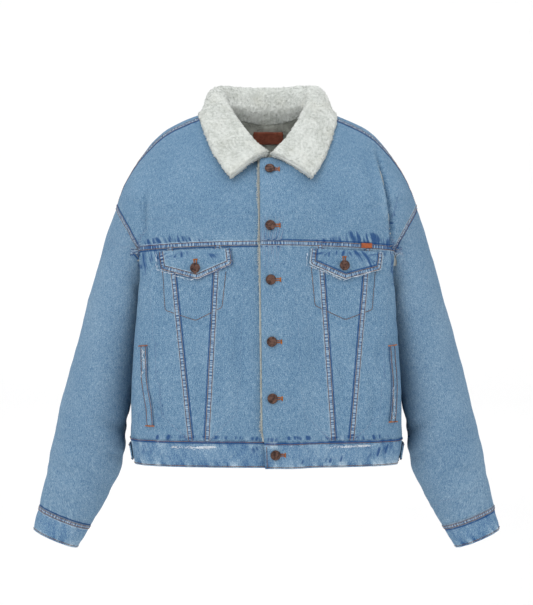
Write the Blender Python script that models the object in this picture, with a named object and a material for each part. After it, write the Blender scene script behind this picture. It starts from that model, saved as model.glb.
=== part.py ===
"""A sherpa lined denim trucker jacket, filled out and buttoned as if worn.

Blender 4.5, metres, +Z up. The front faces -Y and the wearer's left is +X. The origin is the middle
of the neck opening at the height of the shoulders' inner ends, where a wearer holds the jacket up.
Sizes below are millimetres. Every cloth piece is a wall laid on one of three surfaces: the lower
torso, the yokes that run over the shoulders down to the armholes, and the sleeves. Pieces that meet
at a seam share its curve and the direction their walls are measured in, so the walls mitre.
"""
import math
from collections import namedtuple

import bmesh
import bpy
import numpy as np
from mathutils import Matrix, Vector
from mathutils.kdtree import KDTree

MM = 0.001

# ---- thicknesses and clearances
DENIM = 1.8
BAND_WALL = 3.0
SHERPA = 3.8
COLLAR_WALL = 8.0
FLAP_WALL = 2.6
SEAM_GAP = 0.8
LAYER_GAP = 0.4
LINING_GAP = 2.4

# ---- heights of the main seams
YOKE_FRONT_Z = -228.0
YOKE_BACK_Z = -228.0
WAIST_Z = -558.0
HEM_Z = -603.0

# ---- the fronts lap past the button line; the wearer's left one is on top
LAP = 17.5
LAP_LIFT = DENIM + LINING_GAP + SHERPA + 1.4
LAP_FLAT_X = 37.0
LAP_FADE = 55.0
SHERPA_PEEK = 4.5
ARM_MARGIN = 0.03

# ---- seams down the fronts and the back: distance from the middle at the waist and at the yoke
INNER_SEAM = (110.5, 89.0)
OUTER_SEAM = (136.5, 162.0)
BACK_SEAM = (86.0, 148.0)
SIDE_U = 1.5

# ---- sleeve sections from the armhole to the cuff's end. The armhole dips at its lowest part.
CREASE_DEG = 105.0
DIP_FROM_DEG, DIP_OVER_DEG = 108.0, 45.0
DIP_X, DIP_Z = -5.5, 13.0
DIP_LENGTH = 0.035

# ---- directions out of the walls along the armhole, by degrees from its top; y turns over behind the arm
ArmWay = namedtuple("ArmWay", "deg x y z")
ARM_WAY = [
    ArmWay(0, 0.90, 0.00, 0.43),
    ArmWay(45, 0.62, -0.75, 0.20),
    ArmWay(85, 0.56, -0.82, 0.02),
    ArmWay(105, 0.84, -0.52, -0.15),
    ArmWay(122, 0.62, -0.42, -0.66),
    ArmWay(145, 0.30, -0.15, -0.94),
    ArmWay(180, 0.14, 0.00, -0.99),
]

Section = namedtuple("Section", "at outer_x outer_z inner_x inner_z mid_y depth")
SLEEVE = [
    Section(0.00, 262.0, -161, 193.5, -279, 5, 88),
    Section(0.08, 277.0, -200, 196.5, -306, 7, 83),
    Section(0.16, 289.0, -243, 202.5, -335, 8, 82),
    Section(0.28, 306.0, -303, 210.5, -374, 9, 81),
    Section(0.39, 322.0, -362, 219.3, -417, 10, 79),
    Section(0.51, 339.0, -424, 230.3, -465, 10, 76),
    Section(0.63, 356.0, -488, 239.6, -517, 9, 73),
    Section(0.74, 369.5, -545, 245.5, -565, 8, 69),
    Section(0.85, 381.0, -600, 253.0, -613, 6, 62),
    Section(0.93, 389.0, -642, 274.5, -660, 4, 52),
    Section(1.00, 398.0, -681, 307.0, -716, 2, 40),
    Section(1.08, 408.0, -722, 331.0, -755, 0, 37),
]
CUFF_END = 1.08

# ---- girths of the torso. The corners are before and behind the arm.
Girth = namedtuple("Girth", "height corner_x corner_y out side_x pinch front_y back_corner_y back_y")
TORSO = [
    Girth(-615, 223, 58, 0.00, 227.0, 2.0, 141, 62, 121),
    Girth(-603, 225, 58, 0.00, 229.0, 2.0, 142, 63, 122),
    Girth(-580, 229, 60, 0.00, 234.0, 2.0, 145, 65, 124),
    Girth(-558, 231, 62, 0.00, 236.0, 2.0, 148, 67, 126),
    Girth(-517, 231, 65, 0.00, 231.5, 2.0, 150, 70, 125),
    Girth(-465, 230, 69, 0.00, 223.0, 2.0, 151, 74, 124),
    Girth(-417, 227, 72, 0.02, 211.5, 2.2, 150, 78, 124),
    Girth(-374, 224, 75, 0.05, 202.0, 2.6, 150, 81, 124),
    Girth(-335, 220, 78, 0.10, 193.0, 2.5, 150, 83, 125),
    Girth(-306, 218, 80, 0.16, 187.0, 2.6, 150, 85, 126),
    Girth(-279, 216, 82, 0.24, 181.0, 2.6, 150, 87, 127),
    Girth(-240, 216, 82, 0.35, 179.0, 2.6, 150, 90, 128),
]

# ---- the yokes, from the yoke seam (0) past the armhole's top to the neck (1)
ARM_TOP = 0.34
YokeRow = namedtuple("YokeRow", "at front_y front_z back_y back_z seam_x seam_y seam_z out up over full")
YOKE = [
    YokeRow(0.00, 150, YOKE_FRONT_Z, 128, YOKE_BACK_Z, 262, 5, -161, 0.35, 0.00, 0.00, 0.00),
    YokeRow(0.12, 150, -213, 128, -211, 262, 5, -161, 0.50, -0.05, 0.05, 0.01),
    YokeRow(0.24, 149, -199, 128, -195, 262, 5, -161, 0.26, -0.15, 0.15, 0.06),
    YokeRow(ARM_TOP, 147, -187, 127, -180, 262, 5, -161, 0.08, -0.28, 0.28, 0.11),
    YokeRow(0.46, 143, -168, 125, -150, 245, 2, -119, 0.00, 0.00, 0.25, 0.13),
    YokeRow(0.60, 136, -147, 118, -112, 218, -14, -74, 0.00, 0.28, 0.32, 0.10),
    YokeRow(0.74, 127, -127, 107, -73, 183, -26, -37, 0.00, 0.40, 0.42, 0.06),
    YokeRow(0.88, 115, -106, 92, -35, 128, -26, -8, 0.00, 0.42, 0.42, 0.02),
    YokeRow(1.00, 101, -88, 72, -3, 80, -18, 7, 0.00, 0.42, 0.42, 0.00),
]
FRONT_FULLNESS = (0.62, 0.62)
BACK_FULLNESS = (0.60, 0.55)

# ---- the crease in front of each arm
Crease = namedtuple("Crease", "at x depth")
CREASE_WIDTH = 15.0
ARM_CREASE = [
    Crease(0.00, 207, 2),
    Crease(0.12, 208, 5),
    Crease(0.34, 205, 6),
    Crease(0.60, 197, 3),
    Crease(0.80, 188, 0),
    Crease(1.00, 180, 0),
]

# ---- the largest folds of the sleeves
Fold = namedtuple("Fold", "at deg length spread depth lean")
SLEEVE_FOLDS = [
    Fold(0.70, 150, 60, 0.028, 4.5, 0.0006),
    Fold(0.80, 125, 70, 0.022, 4.0, 0.0004),
    Fold(0.89, 100, 90, 0.020, 3.5, 0.0003),
    Fold(0.66, 205, 55, 0.028, 4.0, -0.0004),
    Fold(0.78, 235, 60, 0.024, 3.5, -0.0005),
    Fold(0.90, 330, 60, 0.020, 2.5, 0.0),
    Fold(0.16, 150, 40, 0.030, 4.0, 0.0010),
]

# ---- the collar: its fold and its outer edge, from the middle of the back (0) to the front end (1)
Station = namedtuple("Station", "at fold_x fold_y fold_z edge_x edge_y edge_z roll")
COLLAR = [
    Station(0.00, 0, 86, 52, 0, 108, -20, 13),
    Station(0.16, 42, 76, 54, 60, 98, -16, 13),
    Station(0.32, 70, 50, 54, 102, 60, -4, 13),
    Station(0.46, 75, 22, 47, 119, 14, 2, 13),
    Station(0.60, 67, -8, 24, 118, -34, -14, 13),
    Station(0.74, 55, -42, -18, 107, -78, -50, 12),
    Station(0.86, 42, -72, -50, 93, -112, -86, 10),
    Station(0.94, 27, -94, -68, 83, -126, -106, 9),
    Station(1.00, 10, -107, -79, 73, -136, -121, 7),
]
COLLAR_CLEAR = 2.2
BASE_RISE = 2.0
COLLAR_MIDDLE_X = 5.5
COLLAR_TIP_SHIFT = 6.0

# ---- what is sewn on: distances from the button line, and heights
FLAP_INNER_X = (66.5, 63.5)
FLAP_OUTER_X = (188.0, 184.0)
FLAP_DROP = 8.5
FLAP_LIFT = 1.2
FLAP_BOTTOM = [(0.0, -263.5), (0.49, -289.0), (1.0, -272.0)]
Welt = namedtuple("Welt", "side z x")
WELTS = [
    Welt(1, (-541, -400), (219.0, 214.0)),
    Welt(-1, (-541, -400), (203.0, 211.0)),
]
WELT_WIDTH = 13.0
WAIST_TAB_U = (1.19, 1.33, 1.5, 1.67)
WAIST_TAB_Z = (-598.0, -570.0)
CHEST_TAB = dict(x=(157.6, 175.3), z=(-235.8, -228.4), wall=1.4)
NECK_LABEL = dict(x=(-25.5, 32.0), z=(-45.0, -23.0), wall=1.6)

# ---- buttons: their places, and half a section of one
BUTTON_STEPS = 12
BUTTON_LIFT = 0.8
YOKE_SAG = 0.55  # how far the yoke's flats lie under its curve, by the buttons
BUTTON = [(0, 0.0), (5.6, 0.0), (8.4, 1.6), (8.6, 2.6), (7.9, 3.5), (6.4, 3.7), (5.8, 3.0), (0, 3.2)]
FRONT_BUTTONS = [(5.8, -105.0), (6.4, -200.0), (7.2, -289.0), (8.9, -392.0), (10.0, -486.0), (15.0, -579.0)]
POCKET_BUTTONS = {1: (129.0, -265.0), -1: (117.7, -269.5)}

COLOURS = {
    "denim": ((0.17, 0.32, 0.52), 0.85, 0.0),
    "sherpa": ((0.78, 0.79, 0.73), 0.95, 0.0),
    "leather": ((0.30, 0.11, 0.06), 0.55, 0.0),
    "copper": ((0.19, 0.10, 0.07), 0.40, 0.9),
}


# ---- curves ------------------------------------------------------------------------------------

def through(rows, column, at):
    """A smooth curve through one named column of a table, read at `at`."""
    knots = np.array([row[0] for row in rows], float)
    values = np.array([getattr(row, column) for row in rows], float)
    slopes = np.gradient(values, knots)
    at = np.clip(np.asarray(at, float), knots[0], knots[-1])
    i = np.clip(np.searchsorted(knots, at, side="right") - 1, 0, len(knots) - 2)
    span = knots[i + 1] - knots[i]
    t = (at - knots[i]) / span
    return (values[i] * (2 * t**3 - 3 * t**2 + 1) + slopes[i] * span * (t**3 - 2 * t**2 + t)
            + values[i + 1] * (3 * t**2 - 2 * t**3) + slopes[i + 1] * span * (t**3 - t**2))


def smooth(t):
    """0 below 0, 1 above 1 and an S between."""
    t = np.clip(t, 0.0, 1.0)
    return t * t * (3 - 2 * t)


def between(pair, t):
    return pair[0] + (pair[1] - pair[0]) * np.asarray(t, float)


def stack(x, y, z):
    return np.stack(np.broadcast_arrays(x, y, z), axis=-1).astype(float)


def unit(v):
    return v / np.maximum(np.linalg.norm(v, axis=-1, keepdims=True), 1e-9)


def bezier(a, b, c, d, t):
    t = np.asarray(t, float)[..., None]
    return a * (1 - t)**3 + 3 * b * t * (1 - t)**2 + 3 * c * t * t * (1 - t) + d * t**3


def side_arc(middle, corner, heading, fullness, s):
    """Half of a girth: from the body's middle, square to it, out to a corner that is met along `heading`."""
    reach = np.abs(corner[..., 1] - middle[..., 1])[..., None]
    first, last = (np.asarray(full, float)[..., None] for full in fullness)
    return bezier(middle, middle + (corner - middle) * first * [1, 0, 0], corner - heading * reach * last, corner, s)


# ---- the three surfaces, on the side with positive x ---------------------------------------------

def turn_of(deg):
    """How far a place on a sleeve's girth is from the outer edge, 0 to 180."""
    return 180 - np.abs(np.asarray(deg, float) % 360 - 180)


def section(at):
    outer = stack(through(SLEEVE, "outer_x", at), 0, through(SLEEVE, "outer_z", at))
    inner = stack(through(SLEEVE, "inner_x", at), 0, through(SLEEVE, "inner_z", at))
    return outer, inner, through(SLEEVE, "depth", at)


def sleeve_plain(deg, at):
    """The sleeve's face without folds. deg runs from the outer edge (0) over the front (90) to the inner one."""
    deg, at = np.broadcast_arrays(np.asarray(deg, float), np.asarray(at, float))
    a = np.radians(deg)
    outer, inner, depth = section(at)
    middle = (outer + inner) / 2
    middle[..., 1] = through(SLEEVE, "mid_y", at)
    points = middle + np.cos(a)[..., None] * (outer - inner) / 2 + np.sin(a)[..., None] * stack(0, -depth, 0)
    dip = smooth((turn_of(deg) - DIP_FROM_DEG) / DIP_OVER_DEG)
    bend = np.clip(at / DIP_LENGTH, 0, 1) * math.pi / 2
    return points + stack(DIP_X * dip * (1 - np.sin(bend)), 0, DIP_Z * dip * np.cos(bend))


def armhole(deg):
    return sleeve_plain(deg, 0.0)


def sleeve_at(deg, at):
    """The sleeve with its largest folds, which leave the armhole and the cuff seam as they are."""
    deg, at = np.broadcast_arrays(np.asarray(deg, float), np.asarray(at, float))
    depth = np.zeros_like(at)
    for fold in SLEEVE_FOLDS:
        turn = (deg - fold.deg + 180) % 360 - 180
        depth += fold.depth * np.exp(-(turn / fold.length)**2 - ((at - fold.at - fold.lean * turn) / fold.spread)**2)
    depth *= smooth(at / 0.08) * smooth((1.0 - at) / 0.05)
    return sleeve_plain(deg, at) - depth[..., None] * sleeve_way(deg, at)


def arm_way(deg):
    """The direction shared by all walls that meet at a place of the armhole."""
    turn = turn_of(deg)
    x, y, z = (np.interp(turn, [row.deg for row in ARM_WAY], [getattr(row, axis) for row in ARM_WAY]) for axis in "xyz")
    return unit(stack(x, np.where(np.asarray(deg, float) % 360 > 180, -y, y), z))


def sleeve_way(deg, at):
    """The direction out of the sleeve's wall. It is the armhole's own direction there."""
    deg, at = np.broadcast_arrays(np.asarray(deg, float), np.asarray(at, float))
    a = np.radians(deg)
    outer, inner, depth = section(at)
    across = unit(outer - inner)
    half = np.linalg.norm(outer - inner, axis=-1) / 2
    out = unit((np.cos(a) * depth)[..., None] * across + (np.sin(a) * half)[..., None] * np.array([0, -1.0, 0]))
    near = smooth(1 - at / 0.06)[..., None]
    return unit(out * (1 - near) + arm_way(deg) * near)


ARMPIT = armhole(CREASE_DEG)


def arm_deg(u):
    """Where on the armhole's lower arc the torso's place u lies."""
    return CREASE_DEG + (360 - 2 * CREASE_DEG) * np.clip(np.asarray(u, float) - 1, 0, 1)


def around(s, back=False):
    """The torso's place u, from 0 in the middle of the front to 3 in the middle of the back."""
    return 3 - np.abs(s) if back else np.abs(s)


def torso_top(u):
    """Height of the torso's upper edge: the yoke seams, and the armhole's lower arc between them."""
    front = YOKE_FRONT_Z + (ARMPIT[2] - YOKE_FRONT_Z) * smooth(u)
    back = YOKE_BACK_Z + (ARMPIT[2] - YOKE_BACK_Z) * smooth(3 - u)
    return np.where(u <= 1, front, np.where(u >= 2, back, armhole(arm_deg(u))[..., 2]))


def girth_at(s, z, back=False):
    """The torso's face at height z. s is 0 at the middle of the front (or the back), 1 at the corner
    before (or behind) the arm and 1.5 at the side. Negative s is past the middle."""
    s, z = np.broadcast_arrays(np.asarray(s, float), np.asarray(z, float))
    flip, u = np.where(s < 0, -1.0, 1.0), around(s, back)
    level = np.clip(z, TORSO[0].height, TORSO[-1].height)
    corner_x, corner_y, out, side_x, pinch, front_y, back_corner_y, back_y = (
        through(TORSO, name, level) for name in Girth._fields[1:])
    top = smooth((level + 275) / 35)
    corner_x = corner_x + (ARMPIT[0] - corner_x) * top
    corner_y = corner_y + (-ARMPIT[1] - corner_y) * top
    back_corner_y = back_corner_y + (armhole(-CREASE_DEG)[1] - back_corner_y) * top
    heading = unit(stack(out, 1, 0))
    front = side_arc(stack(0, -front_y, 0), stack(corner_x, -corner_y, 0), heading, FRONT_FULLNESS, np.clip(u, 0, 1))
    back = side_arc(stack(0, back_y, 0), stack(corner_x, back_corner_y, 0), heading * [1, -1, 1],
                    BACK_FULLNESS, np.clip(3 - u, 0, 1))
    deg = arm_deg(u)
    near = np.sin(np.radians(deg)) / math.sin(math.radians(CREASE_DEG))
    side = stack(side_x + (corner_x - side_x) * np.abs(near)**pinch,
                 (back_corner_y - corner_y) / 2 - (back_corner_y + corner_y) / 2 * near, 0)
    below = np.clip((torso_top(u) - z) / DIP_Z, 0, 1)
    seam = armhole(deg)
    side += (seam - side) * ((1 - np.sqrt(2 * below - below**2))[..., None] * [1, 1, 0])
    points = np.where((u <= 1)[..., None], front, np.where((u >= 2)[..., None], back, side))
    points[..., 0] *= flip
    points[..., 2] = z
    return points


def torso_z(s, v, back=False):
    """Heights of the torso between the waist seam (v = 0) and its upper edge (v = 1)."""
    return WAIST_Z + (torso_top(around(s, back)) - WAIST_Z) * np.asarray(v, float)


def yoke_edge(t, back=False):
    """The yoke's outer edge: up the armhole, then along the shoulder seam to the neck."""
    t = np.asarray(t, float)
    deg = CREASE_DEG * (1 - np.clip(t / ARM_TOP, 0, 1))
    seam = stack(*(through(YOKE, name, np.maximum(t, ARM_TOP)) for name in ("seam_x", "seam_y", "seam_z")))
    return np.where((t <= ARM_TOP)[..., None], armhole(-deg if back else deg), seam)


def yoke_at(s, t, back=False):
    """The yoke's face. s is 0 at the body's middle and 1 at the outer edge, t is 0 at the yoke seam and 1
    at the neck. Negative s is past the middle."""
    s, t = np.broadcast_arrays(np.asarray(s, float), np.asarray(t, float))
    flip, s = np.where(s < 0, -1.0, 1.0), np.abs(s)
    corner = yoke_edge(t, back)
    out, rise, full = (through(YOKE, name, t) for name in ("out", "over" if back else "up", "full"))
    if back:
        middle = stack(0, through(YOKE, "back_y", t), through(YOKE, "back_z", t))
        points = side_arc(middle, corner, unit(stack(out, -1, -rise)), (BACK_FULLNESS[0] + full, BACK_FULLNESS[1] + full), s)
    else:
        middle = stack(0, -through(YOKE, "front_y", t), through(YOKE, "front_z", t))
        points = side_arc(middle, corner, unit(stack(out, 1, rise)), (FRONT_FULLNESS[0] + full, FRONT_FULLNESS[1] + full), s)
    run = (points[..., 0] - through(ARM_CREASE, "x", t)) / CREASE_WIDTH
    depth = through(ARM_CREASE, "depth", t) * np.exp(-run**2) * smooth(t / 0.06) * smooth((1 - s) / 0.08)
    points = points - depth[..., None] * body_way(points)
    points[..., 0] *= flip
    return points


def body_way(points):
    """The direction out of the body's walls: a function of place alone, so that walls mitre at seams."""
    x, y, z = points[..., 0], points[..., 1], points[..., 2]
    low = unit(stack(2.76 * (x / 220)**3 * np.abs(x / 220), y / 79, 0))
    high = unit(stack(4 * (x / 280)**3 / 280, 2 * y / 120**2, 2 * (z + 200) / 210**2))
    rise = smooth((z + 244) / 90)[..., None]
    return unit(low * (1 - rise) + high * rise)


def girth_way(s, z, back=False):
    way, u = body_way(girth_at(np.abs(s), z, back)), around(s, back)
    near = smooth(1 - (torso_top(u) - z) / 24) * smooth((np.minimum(u, 3 - u) - 0.85) / 0.15)
    way = unit(way * (1 - near[..., None]) + arm_way(arm_deg(u)) * near[..., None])
    way[..., 0] *= np.where(np.asarray(s) < 0, -1.0, 1.0)
    return way


def yoke_way(s, t, back=False):
    way = body_way(yoke_at(np.abs(s), t, back))
    deg = CREASE_DEG * (1 - np.clip(np.asarray(t, float) / ARM_TOP, 0, 1))
    near = smooth((np.abs(s) - 0.85) / 0.15) * smooth((ARM_TOP + 0.07 - np.asarray(t, float)) / 0.07)
    way = unit(way * (1 - near[..., None]) + arm_way(-deg if back else deg) * near[..., None])
    way[..., 0] *= np.where(np.asarray(s) < 0, -1.0, 1.0)
    return way


def button_line(z):
    """The x of the line the buttons stand on."""
    return np.interp(z, [-603, -558, -540, -100], [15.5, 14.0, 11.0, 5.6])


def lap_lift(side, points):
    """How far the wearer's left front stands off, over the other front and its own lining."""
    lift = LAP_LIFT * (1 - smooth((points[..., 0] - LAP_FLAT_X) / LAP_FADE))
    return lift if side > 0 else 0 * lift


class Cloth:
    """A surface at(u, v) on the side with positive x, and the direction its walls are measured in."""

    def __init__(self, at, way, side=1, lifted=False):
        self.at, self.way, self.side, self.lifted = at, way, side, lifted

    def leaf(self, u, v, depth):
        """World points `depth` millimetres under the surface."""
        u, v, depth = np.broadcast_arrays(np.asarray(u, float), np.asarray(v, float), np.asarray(depth, float))
        step = 2e-3
        here, way = self.at(u, v), self.way(u, v)
        normal = unit(np.cross(self.at(u + step, v) - self.at(u - step, v), self.at(u, v + step) - self.at(u, v - step)))
        lean = np.clip(np.abs(np.sum(normal * way, axis=-1)), 0.5, 1.0)
        if self.lifted:
            depth = depth - lap_lift(self.side, here)
        return (here - way * (depth / lean)[..., None]) * [self.side, 1, 1]

    def across(self, x, v, low=-0.25, high=1.0):
        """The u at which the surface's own x is `x`, for each pair of x and v."""
        x, v = np.broadcast_arrays(np.asarray(x, float), np.asarray(v, float))
        tries = np.linspace(low, high, 160)
        found = [np.interp(one, self.at(tries, height)[..., 0], tries) for one, height in zip(x.ravel(), v.ravel())]
        return np.array(found).reshape(x.shape)

    def under(self, u, z):
        """The v at which the surface's height is z, for each pair of u and z."""
        u, z = np.broadcast_arrays(np.asarray(u, float), np.asarray(z, float))
        tries = np.linspace(0, 1, 160)
        found = [np.interp(one, self.at(place, tries)[..., 2], tries) for place, one in zip(u.ravel(), z.ravel())]
        return np.array(found).reshape(u.shape)

    def place(self, x, z):
        """(u, v) of a point given by the surface's own x and its height."""
        v = 0.5 + 0 * np.asarray(z, float)
        for _ in range(6):
            u = self.across(x, v)
            v = self.under(u, z)
        return u, v

    def spot(self, distance, z):
        """(u, v) of a point given by its distance from the button line and its height."""
        return self.place(distance + self.side * button_line(z), z)


def torso(side, back=False):
    return Cloth(lambda s, v: girth_at(s, torso_z(s, v, back), back),
                 lambda s, v: girth_way(s, torso_z(s, v, back), back), side, not back)


def band(side, back=False):
    return Cloth(lambda s, v: girth_at(s, between((HEM_Z, WAIST_Z), v), back),
                 lambda s, v: girth_way(s, between((HEM_Z, WAIST_Z), v), back), side, not back)


def yoke(side, back=False):
    return Cloth(lambda s, t: yoke_at(s, t, back), lambda s, t: yoke_way(s, t, back), side, not back)


def sleeve(side):
    return Cloth(sleeve_at, sleeve_way, side)


def plain(cloth):
    """The same surface, with directions that don't turn at the armhole."""
    return Cloth(cloth.at, lambda u, v: body_way(cloth.at(u, v)), cloth.side, cloth.lifted)


# ---- meshes --------------------------------------------------------------------------------------

def material(name):
    found = bpy.data.materials.get(name)
    if found:
        return found
    colour, roughness, metallic = COLOURS[name]
    made = bpy.data.materials.new(name)
    made.use_nodes = True
    shader = made.node_tree.nodes["Principled BSDF"]
    shader.inputs["Base Color"].default_value = (*colour, 1)
    shader.inputs["Roughness"].default_value = roughness
    shader.inputs["Metallic"].default_value = metallic
    return made


def add(name, bm, finish, sharp_deg=40):
    bmesh.ops.recalc_face_normals(bm, faces=bm.faces)
    if bm.calc_volume(signed=True) < 0:
        bmesh.ops.reverse_faces(bm, faces=bm.faces)
    mesh = bpy.data.meshes.new(name)
    bm.to_mesh(mesh)
    bm.free()
    mesh.shade_smooth()
    mesh.set_sharp_from_angle(angle=math.radians(sharp_deg))
    mesh.materials.append(material(finish))
    obj = bpy.data.objects.new(name, mesh)
    bpy.data.collections["sherpa_lined_jacket"].objects.link(obj)
    return obj


def wall(name, patches, finish):
    """A closed wall between the faces and the backs of patches, each a pair of grids of points. Patches
    that share an edge, and a patch that meets itself, are welded."""
    bm = bmesh.new()
    place = bm.verts.layers.int.new("place")
    backs, count = np.concatenate([back.reshape(-1, 3) for _, back in patches]), 0
    for face, _ in patches:
        rows, columns = face.shape[:2]
        made = bmesh.ops.create_grid(bm, x_segments=columns - 1, y_segments=rows - 1, size=1)["verts"]
        made.sort(key=lambda v: (round(v.co.y, 5), round(v.co.x, 5)))
        for vert, point in zip(made, face.reshape(-1, 3)):
            vert[place] = count
            vert.co = point * MM
            count += 1
    bmesh.ops.remove_doubles(bm, verts=bm.verts, dist=2e-6)
    made = bmesh.ops.extrude_face_region(bm, geom=bm.faces[:], use_keep_orig=True)
    for vert in made["geom"]:
        if isinstance(vert, bmesh.types.BMVert):
            vert.co = backs[vert[place]] * MM
    return add(name, bm, finish)


EDGES = {"start": (np.s_[:, 0], np.s_[:, 1]), "end": (np.s_[:, -1], np.s_[:, -2]),
         "first": (np.s_[0], np.s_[1]), "last": (np.s_[-1], np.s_[-2])}


def trimmed(grid, edges, gap=SEAM_GAP / 2):
    """The grid with each named edge moved in by half a seam's gap."""
    moved = grid.copy()
    for edge in edges:
        row, beside = EDGES[edge]
        moved[row] += unit(grid[beside] - grid[row]) * gap
    return moved


def patch(cloth, u, v, top, bottom, trim=()):
    """A face at depth `top` and a back at depth `bottom` of a cloth, over a grid of places."""
    return tuple(trimmed(cloth.leaf(u, v, depth), trim) for depth in (top, bottom))


def spread(start, end, columns):
    """A grid of u between two edges, each given as one u for each row."""
    return np.linspace(start, end, columns, axis=1)


def rows(count, low=0.0, high=1.0):
    return np.linspace(low, high, count)[:, None]


def lathe(name, profile, steps, point, way, finish):
    """A half section of (radius, height) turned about the axis that stands on `point` along `way`."""
    bm = bmesh.new()
    verts = [bm.verts.new((r * MM, 0, h * MM)) for r, h in profile]
    edges = [bm.edges.new(pair) for pair in zip(verts, verts[1:])]
    bmesh.ops.spin(bm, geom=verts + edges, cent=(0, 0, 0), axis=(0, 0, 1), angle=2 * math.pi, steps=steps)
    bmesh.ops.remove_doubles(bm, verts=bm.verts, dist=1e-6)
    turn = Vector(unit(np.asarray(way, float))).to_track_quat("Z", "Y").to_matrix().to_4x4()
    bm.transform(Matrix.Translation(Vector(np.asarray(point, float) * MM)) @ turn)
    return add(name, bm, finish)


# ---- the cloth pieces ----------------------------------------------------------------------------

SIDES = {"left": 1, "right": -1}
SIDE_ROWS = np.array([0, 0.16, 0.32, 0.48, 0.62, 0.74, 0.84, 0.91, 0.955, 0.985, 1.0])[:, None]
YOKE_ROWS = np.array([0, 0.06, 0.12, 0.2, 0.27, ARM_TOP, 0.42, 0.53, 0.68, 0.84, 1.0])[:, None]
TO_CORNER = np.array([0.80, 0.88, 0.94, 0.97, 1.0])
OVER_CHEST = np.concatenate([[0.42, 0.54, 0.67], TO_CORNER])
TO_SIDE = np.array([1.05, 1.11, 1.19, 1.33, SIDE_U])
SLEEVE_ROWS = np.array([0, 0.008, 0.02, 0.036, 0.08, 0.15, 0.24, 0.34, 0.45, 0.56, 0.66, 0.75, 0.83, 0.92, 1.0])[:, None]


def down_seam(cloth, pair, v, back=False):
    """The u of a seam that runs down a front or the back, given by its distances at the waist and the yoke."""
    v = np.ravel(v)
    middle = 0 if back else cloth.side * button_line(between((WAIST_Z, YOKE_FRONT_Z), v))
    return cloth.across(between(pair, v) + middle, v)


def to_corner(start, columns, shared=TO_CORNER):
    """Columns from a seam or an edge to the corner by the arm. The last ones are shared with other pieces."""
    near = np.linspace(start, shared[0] + 0 * start, columns, axis=1)[:, :-1]
    return np.concatenate([near, np.repeat(shared[None], len(start), axis=0)], axis=1)


def to_side(start, columns, shared=TO_CORNER):
    """The same, and on to the side seam."""
    return np.concatenate([to_corner(start, columns, shared), np.repeat(TO_SIDE[None], len(start), axis=0)], axis=1)


UNDER_SLEEVE = (10, 16)  # the columns of the underarm seam and of the seam down the back of the arm


def sleeve_columns():
    """Places round a sleeve, at which the armhole's pieces have their edges' points."""
    front = CREASE_DEG * (1 - YOKE_ROWS.ravel()[::-1] / ARM_TOP)
    half = np.concatenate([front[front >= 0], arm_deg(TO_SIDE)])
    return np.concatenate([half, 360 - half[-2::-1]])[None, :]


def build_torso():
    tall = rows(9)
    for name, side in SIDES.items():
        front = torso(side)
        edge, inner, outer = (down_seam(front, pair, tall) for pair in ((-LAP, -LAP), INNER_SEAM, OUTER_SEAM))
        wall(f"front_center_{name}", [patch(front, spread(edge, inner, 8), tall, 0, DENIM, ("end", "first", "last"))], "denim")
        wall(f"front_mid_{name}", [patch(front, spread(inner, outer, 4), tall, 0, DENIM, EDGES)], "denim")
        outer = down_seam(front, OUTER_SEAM, SIDE_ROWS)
        wall(f"front_side_{name}", [patch(front, to_side(outer, 4), SIDE_ROWS, 0, DENIM, EDGES)], "denim")
        rear = torso(side, True)
        outer = down_seam(rear, BACK_SEAM, SIDE_ROWS, True)
        wall(f"back_side_{name}", [patch(rear, to_side(outer, 5), SIDE_ROWS, 0, DENIM, EDGES)], "denim")
    outer = down_seam(torso(1, True), BACK_SEAM, tall, True)
    wall("back_center", [patch(torso(1, True), spread(-outer, outer, 11), tall, 0, DENIM, EDGES)], "denim")


def front_edge(cloth, v, extra=0.0):
    """The u of a front's free edge on a yoke or a band."""
    v = np.ravel(v)
    u = 0 * v
    for _ in range(4):
        z = cloth.at(u, v)[..., 2]
        u = cloth.across(-LAP - extra + cloth.side * button_line(z), v)
    return u


def build_yokes():
    for name, side in SIDES.items():
        cloth = yoke(side)
        u = to_corner(front_edge(cloth, YOKE_ROWS), 5, OVER_CHEST)
        wall(f"front_yoke_{name}", [patch(cloth, u, YOKE_ROWS, 0, DENIM, ("end", "first"))], "denim")
    half = to_corner(0 * YOKE_ROWS.ravel(), 4, OVER_CHEST)
    u = np.concatenate([-half[:, :0:-1], half], axis=1)
    wall("back_yoke", [patch(yoke(1, True), u, YOKE_ROWS, 0, DENIM, ("start", "end", "first"))], "denim")


def build_sleeves():
    for name, side in SIDES.items():
        cloth, deg = sleeve(side), sleeve_columns()
        low, back = UNDER_SLEEVE
        upper = np.concatenate([deg[:, back:-1] - 360, deg[:, :low + 1]], axis=1)
        wall(f"sleeve_{name}", [patch(cloth, upper, SLEEVE_ROWS, 0, DENIM, EDGES)], "denim")
        wall(f"under_sleeve_{name}", [patch(cloth, deg[:, low:back + 1], SLEEVE_ROWS, 0, DENIM, EDGES)], "denim")
        wall(f"cuff_{name}", [patch(cloth, deg, rows(4, 1.0, CUFF_END), 0, BAND_WALL, ("first",))], "denim")


def build_waistband():
    low = rows(4)
    for name, side in SIDES.items():
        front, rear = band(side), band(side, True)
        around_front = to_side(front_edge(front, low), 9)
        around_back = to_side(np.zeros(len(low)), 6)
        wall(f"waistband_{name}", [
            patch(front, around_front, low, 0, BAND_WALL, ("last",)),
            patch(rear, around_back, low, 0, BAND_WALL, ("start", "last")),
        ], "denim")


def joined(low, high, skip):
    """Two patches, the upper one's first row set on the lower one's last from column `skip` on."""
    for below, above in zip(low, high):
        above[0] = below[-1, skip:skip + above.shape[1]]
    return [low, high]


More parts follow.
